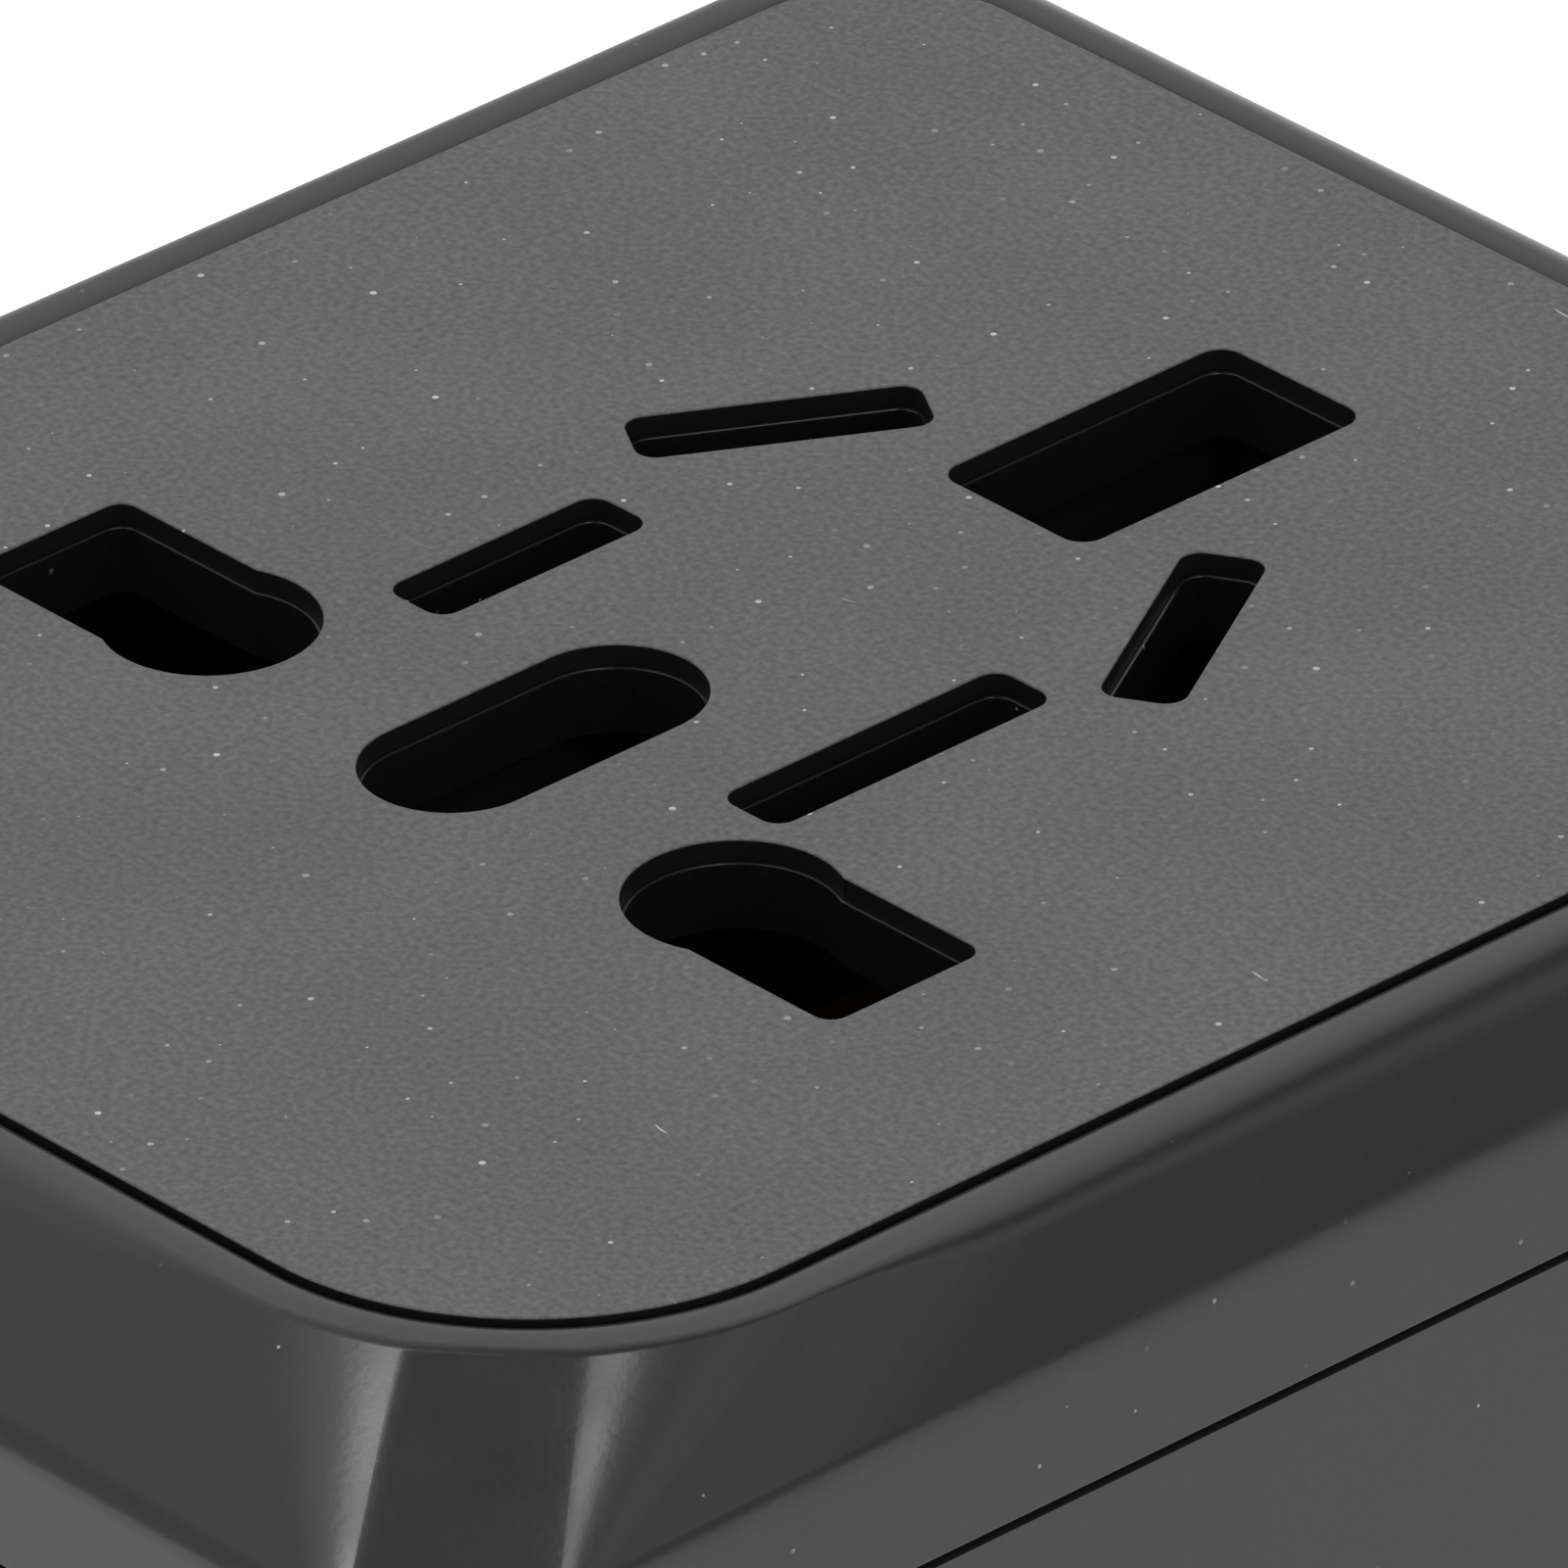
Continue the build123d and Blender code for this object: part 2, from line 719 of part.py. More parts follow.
# Bus strips: a flat link on the middle plate with two strips hanging beside the pins' paths
bus_low = bus_foot + bus_pocket_play
for side, label in ((1, "live_bus"), (-1, "neutral_bus")):
    with BuildPart() as bus:
        with BuildSketch(Plane.XY.offset(bus_low)):
            with Locations((side * round_bus_x, round_bus_y)):
                Rectangle(round_bus_width, bus_thick)
            with Locations((side * blade_bus_x, blade_bus_y)):
                Rectangle(blade_bus_width, bus_thick)
        extrude(amount=plate_top + bus_thick - bus_low)
        with BuildSketch(Plane.XY.offset(plate_top)):
            with Locations((side * link_x, (round_bus_y + blade_bus_y) / 2)):
                Rectangle(link_width, blade_bus_y - round_bus_y + bus_thick)
        extrude(amount=bus_thick)
        with BuildSketch(Plane.XY.offset(plate_top + bus_thick)):
            with Locations((side * link_x, riser_y)):
                Rectangle(link_width, bus_thick)
        extrude(amount=board_z - plate_top - bus_thick)
    bus.part.label = label
    export_step(bus.part, f"parts/{label}.step")

# UK carriage: a C-shaped frame round the blade carriage, with an arm out to its knob
knob_inner = body_width / 2 - track_depth + knob_play
arm_end = knob_inner + knob_lap
shoe_outer = body_width / 2 - wall - carriage_play
uk_earth_y = uk_line_y + uk_earth_reach
uk_bar_low = uk_line_y - uk_bar_width / 2
uk_arm_high = uk_earth_y + uk_earth_arm_width / 2
uk_bar_left = -uk_pin_x - uk_pin_width / 2 - uk_bar_end
with BuildPart() as uk_carriage:
    with BuildSketch(Plane.XY.offset(carriage_z)):
        with Locations(((uk_bar_left + uk_side_outer) / 2, uk_line_y)):
            Rectangle(uk_side_outer - uk_bar_left, uk_bar_width)
        with Locations(((uk_side_inner + uk_side_outer) / 2, (uk_bar_low + uk_arm_high) / 2)):
            Rectangle(uk_side_outer - uk_side_inner, uk_arm_high - uk_bar_low)
        with Locations(((uk_side_outer - uk_earth_pad) / 2, uk_earth_y)):
            Rectangle(uk_side_outer + uk_earth_pad, uk_earth_arm_width)
        with Locations(((uk_side_inner + arm_end) / 2, uk_slider_y)):
            Rectangle(arm_end - uk_side_inner, arm_width)
        with Locations((shoe_outer - shoe_thick / 2, uk_slider_y)):
            Rectangle(shoe_thick, shoe_width)
        with Locations((0, uk_earth_y)):
            Rectangle(
                uk_earth_root_width + 2 * pin_fit, uk_earth_root_depth + 2 * pin_fit, mode=Mode.SUBTRACT
            )
        with Locations((uk_pin_x, uk_line_y), (-uk_pin_x, uk_line_y)):
            Rectangle(uk_root_width + 2 * pin_fit, uk_root_depth + 2 * pin_fit, mode=Mode.SUBTRACT)
    extrude(amount=carriage_thick)
uk_carriage.part.label = "uk_carriage"
export_step(uk_carriage.part, "parts/uk_carriage.step")

# UK live and neutral pins: brass bars thinned for their sleeves, each with a contact tab on top
uk_tip_z = carriage_z - pin_room - uk_pin_length
uk_sleeve_z = carriage_z - pin_room - uk_sleeve_length
sleeve_step = 2 * (uk_sleeve_wall + pin_fit)
uk_tab_end = round_bus_y + bus_thick / 2 + bus_touch
with BuildPart() as uk_pins:
    with BuildSketch(Plane.XY.offset(uk_tip_z)):
        with Locations((uk_pin_x, uk_line_y), (-uk_pin_x, uk_line_y)):
            Rectangle(uk_pin_width, uk_pin_depth)
    extrude(amount=uk_sleeve_z - uk_tip_z)
    chamfer(uk_pins.edges().group_by(Axis.Z)[0], length=pin_tip_chamfer)
    with BuildSketch(Plane.XY.offset(uk_sleeve_z)):
        with Locations((uk_pin_x, uk_line_y), (-uk_pin_x, uk_line_y)):
            Rectangle(uk_pin_width - sleeve_step, uk_pin_depth - sleeve_step)
    extrude(amount=carriage_z - uk_sleeve_z)
    with BuildSketch(Plane.XY.offset(carriage_z)):
        with Locations((uk_pin_x, uk_line_y), (-uk_pin_x, uk_line_y)):
            Rectangle(uk_root_width, uk_root_depth)
    extrude(amount=carriage_thick)
    with BuildSketch(Plane.XY.offset(carriage_top)):
        tab_back = uk_line_y + uk_root_depth / 2
        with Locations(
            (uk_pin_x, (tab_back + uk_tab_end) / 2), (-uk_pin_x, (tab_back + uk_tab_end) / 2)
        ):
            Rectangle(tab_width, tab_back - uk_tab_end)
    extrude(amount=tab_thick)
uk_pins.part.label = "uk_pins"
export_step(uk_pins.part, "parts/uk_pins.step")

# UK pin sleeves: the insulation round the upper half of each live and neutral pin
with BuildPart() as uk_pin_sleeves:
    with BuildSketch(Plane.XY.offset(uk_sleeve_z)):
        with Locations((uk_pin_x, uk_line_y), (-uk_pin_x, uk_line_y)):
            Rectangle(uk_pin_width, uk_pin_depth)
            Rectangle(
                uk_pin_width - 2 * uk_sleeve_wall, uk_pin_depth - 2 * uk_sleeve_wall, mode=Mode.SUBTRACT
            )
    extrude(amount=carriage_z - uk_sleeve_z)
uk_pin_sleeves.part.label = "uk_pin_sleeves"
export_step(uk_pin_sleeves.part, "parts/uk_pin_sleeves.step")

# UK earth pin: moulded plastic on this two-pole converter, it only opens a socket's shutters
with BuildPart() as uk_earth_pin:
    with BuildSketch(Plane.XY.offset(carriage_z - pin_room - uk_earth_length)):
        with Locations((0, uk_earth_y)):
            Rectangle(uk_earth_width, uk_earth_depth)
    extrude(amount=pin_room + uk_earth_length)
    chamfer(uk_earth_pin.edges().group_by(Axis.Z)[0], length=pin_tip_chamfer)
    with BuildSketch(Plane.XY.offset(carriage_z)):
        with Locations((0, uk_earth_y)):
            Rectangle(uk_earth_root_width, uk_earth_root_depth)
    extrude(amount=carriage_thick)
    with BuildSketch(Plane.XY.offset(carriage_top)):
        with Locations((0, uk_earth_y)):
            Rectangle(uk_earth_width, uk_earth_depth - 2 * pin_tip_chamfer)
    extrude(amount=tab_thick)
uk_earth_pin.part.label = "uk_earth_pin"
export_step(uk_earth_pin.part, "parts/uk_earth_pin.step")

# EU carriage: a straight bar with an arm out to its knob
with BuildPart() as eu_carriage:
    with BuildSketch(Plane.XY.offset(carriage_z)):
        with Locations((0, eu_line_y)):
            RectangleRounded(eu_carriage_width, eu_carriage_length, carriage_border)
        with Locations((-(eu_carriage_width / 4 + arm_end / 2), eu_slider_y)):
            Rectangle(arm_end - eu_carriage_width / 2, arm_width)
        with Locations((-shoe_outer + shoe_thick / 2, eu_slider_y)):
            Rectangle(shoe_thick, shoe_width)
        with Locations((eu_pin_x, eu_line_y), (-eu_pin_x, eu_line_y)):
            Circle(eu_core_diameter / 2 + pin_fit, mode=Mode.SUBTRACT)
    extrude(amount=carriage_thick)
eu_carriage.part.label = "eu_carriage"
export_step(eu_carriage.part, "parts/eu_carriage.step")

# EU pins: round brass pins, thinner under their sleeves, each with a contact tab on top
eu_tip_z = carriage_z - pin_room - eu_pin_length
eu_sleeve_z = eu_tip_z + eu_bare_length
eu_tab_end = round_bus_y - bus_thick / 2 - bus_touch
eu_places = [(eu_pin_x, eu_line_y), (-eu_pin_x, eu_line_y)]
with BuildPart() as eu_pins:
    with BuildSketch(Plane.XY.offset(eu_tip_z)):
        with Locations(*eu_places):
            Circle(eu_pin_diameter / 2)
    extrude(amount=eu_bare_length)
    fillet(eu_pins.edges().group_by(Axis.Z)[0], radius=eu_tip_round)
    with BuildSketch(Plane.XY.offset(eu_sleeve_z)):
        with Locations(*eu_places):
            Circle(eu_core_diameter / 2)
    extrude(amount=carriage_top - eu_sleeve_z)
    with BuildSketch(Plane.XY.offset(carriage_top)):
        tab_front = eu_line_y - eu_core_diameter / 2
        with Locations(*[(x, (tab_front + eu_tab_end) / 2) for x, y in eu_places]):
            Rectangle(tab_width, eu_tab_end - tab_front)
    extrude(amount=tab_thick)
eu_pins.part.label = "eu_pins"
export_step(eu_pins.part, "parts/eu_pins.step")

# EU pin sleeves: the insulation round the upper half of each pin
with BuildPart() as eu_pin_sleeves:
    with BuildSketch(Plane.XY.offset(eu_sleeve_z)):
        with Locations(*eu_places):
            Circle(eu_sleeve_diameter / 2)
            Circle(eu_core_diameter / 2 + pin_fit, mode=Mode.SUBTRACT)
    extrude(amount=carriage_z - eu_sleeve_z)
eu_pin_sleeves.part.label = "eu_pin_sleeves"
export_step(eu_pin_sleeves.part, "parts/eu_pin_sleeves.step")

# Blade carriage: carries a turning rotor for each flat blade
blade_places = [(blade_pivot_x, blade_pivot_y), (-blade_pivot_x, blade_pivot_y)]
bore_radius = rotor_radius + turning_play
seat_radius = rotor_flange_radius + turning_play
seat_z = carriage_top - rotor_flange_thick - turning_play
us_carriage_width = 2 * (blade_pivot_x + seat_radius + carriage_border)
us_carriage_length = 2 * (seat_radius + carriage_border)
with BuildPart() as us_carriage:
    with BuildSketch(Plane.XY.offset(carriage_z)):
        with Locations((0, blade_pivot_y)):
            RectangleRounded(us_carriage_width, us_carriage_length, carriage_border)
        with Locations((-(us_carriage_width / 4 + arm_end / 2), us_slider_y)):
            Rectangle(arm_end - us_carriage_width / 2, arm_width)
        with Locations((-shoe_outer + shoe_thick / 2, us_slider_y)):
            Rectangle(shoe_thick, shoe_width)
        with Locations(*blade_places):
            Circle(bore_radius, mode=Mode.SUBTRACT)
    extrude(amount=carriage_thick)
    with BuildSketch(Plane.XY.offset(seat_z)):
        with Locations(*blade_places):
            Circle(seat_radius)
    extrude(amount=carriage_top - seat_z, mode=Mode.SUBTRACT)
us_carriage.part.label = "us_carriage"
export_step(us_carriage.part, "parts/us_carriage.step")

# Blade tabs: brass strips over the rotors that reach to the bus strips
us_tab_end = blade_bus_y - bus_thick / 2 - bus_touch
us_tab_front = blade_pivot_y - us_carriage_length / 2
with BuildPart() as blade_tabs:
    with BuildSketch(Plane.XY.offset(carriage_top)):
        with Locations(*[(x, (us_tab_front + us_tab_end) / 2) for x, y in blade_places]):
            Rectangle(tab_width, us_tab_end - us_tab_front)
    extrude(amount=tab_thick)
blade_tabs.part.label = "blade_tabs"
export_step(blade_tabs.part, "parts/blade_tabs.step")

# Rotors and blades: each blade turns about a pivot that is off its own middle
blade_top = carriage_z - rotor_stand
rotor_top = carriage_top - turning_play
for side, end in ((1, "right"), (-1, "left")):
    place = (side * blade_pivot_x, blade_pivot_y)
    root_place = (place[0], place[1] - blade_offset / 3)
    with BuildPart() as rotor:
        with BuildSketch(Plane.XY.offset(blade_top)):
            with Locations(place):
                Circle(rotor_radius)
        extrude(amount=rotor_top - blade_top)
        with BuildSketch(Plane.XY.offset(carriage_top - rotor_flange_thick)):
            with Locations(place):
                Circle(rotor_flange_radius)
        extrude(amount=rotor_flange_thick - turning_play)
        with BuildSketch(Plane.XY.offset(blade_top)):
            with Locations(root_place):
                Rectangle(blade_thick + 2 * pin_fit, blade_root_width + 2 * pin_fit)
        extrude(amount=rotor_top - blade_top, mode=Mode.SUBTRACT)
    rotor.part.label = f"blade_rotor_{end}"
    export_step(rotor.part, f"parts/blade_rotor_{end}.step")

    with BuildPart() as blade:
        with BuildSketch(Plane.XY.offset(carriage_z - pin_room - blade_length)):
            with Locations((place[0], place[1] - blade_offset)):
                Rectangle(blade_thick, blade_width)
        extrude(amount=blade_top - carriage_z + pin_room + blade_length)
        tip_edges = blade.edges().group_by(Axis.Z)[0]
        chamfer(tip_edges, length=blade_thick / 3)
        with BuildSketch(Plane.XY.offset(blade_top)):
            with Locations(root_place):
                Rectangle(blade_thick, blade_root_width)
        extrude(amount=rotor_top - blade_top)
    blade.part.label = f"blade_{end}"
    export_step(blade.part, f"parts/blade_{end}.step")

# Slider knobs: ribbed thumb pieces outside the wall, each pushed onto the end of its arm
knob_outer = body_width / 2 + knob_proud
for (side, slider_y), label in zip(sliders, ("uk_knob", "eu_knob", "us_knob")):
    with BuildPart() as knob:
        with BuildSketch(slider_plane(side, slider_y, knob_inner)):
            with Locations((0, knob_low + knob_height / 2)):
                RectangleRounded(knob_width, knob_height, knob_corner)
        extrude(amount=knob_outer - knob_inner)
        outer_face = knob.faces().sort_by(Axis.X)[-1 if side > 0 else 0]
        fillet(outer_face.edges(), radius=rib_depth)
        with BuildSketch(slider_plane(side, slider_y, knob_outer - rib_depth)):
            with Locations((0, knob_low + knob_height / 2)):
                with GridLocations(0, rib_pitch, 1, rib_count):
                    Rectangle(knob_width, rib_width)
        extrude(amount=rib_depth, mode=Mode.SUBTRACT)
        with BuildSketch(slider_plane(side, slider_y, knob_inner)):
            with Locations((0, carriage_z + carriage_thick / 2)):
                Rectangle(arm_width + 2 * pin_fit, carriage_thick + 2 * pin_fit)
        extrude(amount=knob_lap, mode=Mode.SUBTRACT)
    knob.part.label = label
    export_step(knob.part, f"parts/{label}.step")

# Converter board
with BuildPart() as converter_board:
    with BuildSketch(Plane.XY.offset(board_z)):
        RectangleRounded(board_width, board_length, board_corner)
        with GridLocations(2 * board_screw_x, 2 * board_screw_y, 2, 2):
            Circle(screw_passage, mode=Mode.SUBTRACT)
    extrude(amount=board_thick)
converter_board.part.label = "converter_board"
export_step(converter_board.part, "parts/converter_board.step")

# Transformer: a flat stack of core plates with one wound bobbin on its middle leg
bobbin_height = converter_room - bobbin_clearance
core_z = board_top + bobbin_height / 2
bobbin_width = core_leg + 2 * core_window - 2 * bobbin_play
bobbin_length = core_length - core_leg - 2 * bobbin_play
bobbin_inner = (core_leg + 2 * bobbin_play, core_stack + 2 * bobbin_play)
bobbin_tube = (bobbin_inner[0] + 2 * bobbin_wall, bobbin_inner[1] + 2 * bobbin_wall)
with BuildPart() as transformer_core:
    with BuildSketch(Plane.XY.offset(core_z - core_stack / 2)):
        with Locations((core_x, core_y)):
            Rectangle(core_width, core_length)
            with GridLocations(core_leg + core_window, 0, 2, 1):
                Rectangle(core_window, core_length - core_leg, mode=Mode.SUBTRACT)
    extrude(amount=core_stack)
transformer_core.part.label = "transformer_core"
export_step(transformer_core.part, "parts/transformer_core.step")

bobbin_start = core_y + bobbin_length / 2
with BuildPart() as transformer_bobbin:
    with BuildSketch(Plane.XZ.offset(-bobbin_start)):
        with Locations((core_x, core_z)):
            Rectangle(bobbin_tube[0], bobbin_tube[1])
    extrude(amount=bobbin_length)
    for flange_y in (bobbin_start, bobbin_start - bobbin_length + bobbin_wall):
        with BuildSketch(Plane.XZ.offset(-flange_y)):
            with Locations((core_x, core_z)):
                Rectangle(bobbin_width, bobbin_height)
        extrude(amount=bobbin_wall)
    with BuildSketch(Plane.XZ.offset(-bobbin_start)):
        with Locations((core_x, core_z)):
            Rectangle(bobbin_inner[0], bobbin_inner[1])
    extrude(amount=bobbin_length, mode=Mode.SUBTRACT)
transformer_bobbin.part.label = "transformer_bobbin"
export_step(transformer_bobbin.part, "parts/transformer_bobbin.step")

with BuildPart() as transformer_winding:
    with BuildSketch(Plane.XZ.offset(-bobbin_start + bobbin_wall)):
        with Locations((core_x, core_z)):
            RectangleRounded(
                bobbin_width - 2 * winding_inset, bobbin_height - 2 * winding_inset, winding_inset * 2
            )
            Rectangle(bobbin_tube[0], bobbin_tube[1], mode=Mode.SUBTRACT)
    extrude(amount=bobbin_length - 2 * bobbin_wall)
transformer_winding.part.label = "transformer_winding"
export_step(transformer_winding.part, "parts/transformer_winding.step")

# Smoothing and suppression capacitors
with BuildPart() as smoothing_capacitor:
    with BuildSketch(Plane.XY.offset(board_top)):
        with Locations((capacitor_x, capacitor_y)):
            Circle(capacitor_radius)
    extrude(amount=converter_room - capacitor_clearance)
    fillet(smoothing_capacitor.edges().group_by(Axis.Z)[-1], radius=can_round)
smoothing_capacitor.part.label = "smoothing_capacitor"
export_step(smoothing_capacitor.part, "parts/smoothing_capacitor.step")

with BuildPart() as suppression_capacitor:
    with BuildSketch(Plane.XY.offset(board_top)):
        with Locations((film_x, film_y)):
            RectangleRounded(film_width, film_length, film_round)
    extrude(amount=converter_room - film_clearance)
suppression_capacitor.part.label = "suppression_capacitor"
export_step(suppression_capacitor.part, "parts/suppression_capacitor.step")

# Heat sink and the triac against its back
sink_y = face_y - sink_inset
with BuildPart() as heat_sink:
    with BuildSketch(Plane.XY.offset(board_top)):
        with Locations((sink_x, sink_y + sink_back / 2)):
            Rectangle(sink_width, sink_back)
        with Locations((sink_x, sink_y + sink_back + fin_length / 2)):
            with GridLocations(fin_pitch, 0, fin_count, 1):
                Rectangle(fin_thick, fin_length)
    extrude(amount=converter_room - sink_clearance)
heat_sink.part.label = "heat_sink"
export_step(heat_sink.part, "parts/heat_sink.step")

with BuildPart() as triac:
    with BuildSketch(Plane.XY.offset(board_top + triac_lift)):
        with Locations((sink_x, sink_y - triac_thick / 2)):
            Rectangle(triac_width, triac_thick)
    extrude(amount=converter_room - triac_clearance - triac_lift)
    with BuildSketch(Plane.XY.offset(board_top)):
        with Locations((sink_x, sink_y - triac_thick / 2)):
            with GridLocations(triac_lead_pitch, 0, 3, 1):
                Rectangle(triac_lead, triac_lead)
    extrude(amount=triac_lift)
triac.part.label = "triac"
export_step(triac.part, "parts/triac.step")

# Fuse: a glass tube with brass caps in two spring clips
fuse_y = fuse_inset - board_screw_y
fuse_z = board_top + clip_lift + fuse_radius + clip_thick
cap_reach = (fuse_length - cap_length) / 2
cap_back = fuse_y + cap_reach + cap_length / 2
with BuildPart() as fuse_glass:
    with BuildSketch(Plane.XZ.offset(-(cap_back - cap_length))):
        with Locations((fuse_x, fuse_z)):
            Circle(glass_radius)
    extrude(amount=fuse_length - 2 * cap_length)
fuse_glass.part.label = "fuse_glass"
export_step(fuse_glass.part, "parts/fuse_glass.step")

with BuildPart() as fuse_caps:
    for start in (cap_back, cap_back - 2 * cap_reach):
        with BuildSketch(Plane.XZ.offset(-start)):
            with Locations((fuse_x, fuse_z)):
                Circle(fuse_radius)
        extrude(amount=cap_length)
fuse_caps.part.label = "fuse_caps"
export_step(fuse_caps.part, "parts/fuse_caps.step")

clip_inner = 2 * (fuse_radius + turning_play)
with BuildPart() as fuse_clips:
    for start in (cap_back, cap_back - 2 * cap_reach):
        clip_start = start - (cap_length - clip_width) / 2
        with BuildSketch(Plane.XZ.offset(-clip_start)):
            with Locations((fuse_x, (board_top + fuse_z + glass_radius / 2) / 2)):
                Rectangle(clip_inner + 2 * clip_thick, fuse_z + glass_radius / 2 - board_top)
            with Locations((fuse_x, fuse_z)):
                Circle(clip_inner / 2, mode=Mode.SUBTRACT)
            with Locations((fuse_x, fuse_z + clip_inner / 2)):
                Rectangle(clip_inner, clip_inner, mode=Mode.SUBTRACT)
        extrude(amount=clip_width)
fuse_clips.part.label = "fuse_clips"
export_step(fuse_clips.part, "parts/fuse_clips.step")

# Mode switch: a body on the board and a ribbed slide in the far end wall
switch_front = face_y - wall - switch_body_gap
switch_body_y = switch_front - switch_body_length / 2
switch_centre = switch_x + switch_travel / 2
with BuildPart() as switch_body:
    with BuildSketch(Plane.XY.offset(board_top)):
        with Locations((switch_centre, switch_body_y)):
            Rectangle(switch_body_width, switch_body_length)
    extrude(amount=switch_body_height)
    with BuildSketch(end_plane(switch_centre, switch_front - lever_pocket_depth)):
        with Locations((0, switch_z)):
            Rectangle(
                stem_width + switch_travel + 2 * lever_pocket_margin, stem_height + 2 * lever_pocket_margin
            )
    extrude(amount=lever_pocket_depth, mode=Mode.SUBTRACT)
switch_body.part.label = "switch_body"
export_step(switch_body.part, "parts/switch_body.step")

switch_knob_y = face_y - switch_recess_depth + slip
with BuildPart() as switch_knob:
    with BuildSketch(end_plane(switch_x, switch_knob_y)):
        with Locations((0, switch_z)):
            RectangleRounded(switch_knob_width, switch_knob_height, knob_corner / 2)
    extrude(amount=face_y - switch_knob_y)
    with BuildSketch(end_plane(switch_x, face_y - rib_depth)):
        with Locations((0, switch_z)):
            with GridLocations(rib_pitch * 2 / 3, 0, rib_count - 1, 1):
                Rectangle(rib_width / 2, switch_knob_height)
    extrude(amount=rib_depth, mode=Mode.SUBTRACT)
    with BuildSketch(end_plane(switch_x, switch_front - stem_bite)):
        with Locations((0, switch_z)):
            Rectangle(stem_width, stem_height)
    extrude(amount=switch_knob_y - switch_front + stem_bite)
switch_knob.part.label = "switch_knob"
export_step(switch_knob.part, "parts/switch_knob.step")

# Indicator: a clear lens in the wall with its lamp behind it
lens_back = face_y - wall - lamp_flange_thick
with BuildPart() as lamp_lens:
    with BuildSketch(end_plane(lamp_x, lens_back)):
        with Locations((0, switch_z)):
            Circle(lamp_flange)
    extrude(amount=lamp_flange_thick)
    with BuildSketch(end_plane(lamp_x, lens_back)):
        with Locations((0, switch_z)):
            Circle(lamp_radius)
    extrude(amount=face_y - lens_back)
lamp_lens.part.label = "lamp_lens"
export_step(lamp_lens.part, "parts/lamp_lens.step")

lamp_end = lens_back - led_gap
with BuildPart() as lamp:
    with BuildSketch(end_plane(lamp_x, lamp_end - led_length)):
        with Locations((0, switch_z)):
            Circle(lamp_radius)
    extrude(amount=led_length)
    fillet(lamp.edges().group_by(Axis.Y)[-1], radius=lamp_radius * 0.9)
    with BuildSketch(Plane.XY.offset(board_top)):
        with Locations((lamp_x, lamp_end - led_length + led_leg)):
            with GridLocations(led_leg_pitch, 0, 2, 1):
                Rectangle(led_leg, led_leg)
    extrude(amount=switch_z - board_top)
lamp.part.label = "lamp"
export_step(lamp.part, "parts/lamp.step")


def pan_screw(length):
    """Half profile of a pan-head screw: its own Y runs from the shank's tip to the head."""
    with BuildSketch(Plane.XY) as profile:
        with BuildLine():
            Polyline(
                (0, -length),
                (screw_radius, -length),
                (screw_radius, 0),
                (screw_head_radius, 0),
                (screw_head_radius, screw_head_height - screw_head_chamfer),
                (screw_head_radius - screw_head_chamfer, screw_head_height),
                (0, screw_head_height),
                close=True,
            )
        make_face()
    return profile.sketch


# Screws of the middle plate, the contact block, the board and the base cover
screw_sets = (
    ("plate_screws", boss_places, plate_top, -1, screw_length),
    ("block_screws", block_screw_places, lug_z, 1, lug_thick + shell_boss_length - pin_fit),
    (
        "board_screws",
        [(x * board_screw_x, y * board_screw_y) for x in (-1, 1) for y in (-1, 1)],
        board_top,
        -1,
        board_screw_length,
    ),
)
for label, places, seat, facing, length in screw_sets:
    with BuildPart() as screws:
        for x, y in places:
            with BuildSketch(Plane(origin=(x, y, seat), x_dir=(1, 0, 0), z_dir=(0, facing, 0))):
                add(pan_screw(length))
            revolve(axis=Axis((x, y, seat), (0, 0, 1)))
    screws.part.label = label
    export_step(screws.part, f"parts/{label}.step")

cone_slope = sin(radians(countersink_angle / 2)) / cos(radians(countersink_angle / 2))
cone_end = (screw_head_radius - screw_radius) / cone_slope
with BuildPart() as base_screws:
    for x, y in boss_places:
        with BuildSketch(Plane(origin=(x, y, 0), x_dir=(1, 0, 0), z_dir=(0, -1, 0))):
            with BuildLine():
                Polyline(
                    (0, head_recess),
                    (screw_head_radius - head_recess * cone_slope, head_recess),
                    (screw_radius, cone_end),
                    (screw_radius, screw_length),
                    (0, screw_length),
                    close=True,
                )
            make_face()
        revolve(axis=Axis((x, y, 0), (0, 0, 1)))
base_screws.part.label = "base_screws"
export_step(base_screws.part, "parts/base_screws.step")
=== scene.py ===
import json
import math

import bmesh
import bpy
import numpy as np
from mathutils import Matrix, Vector

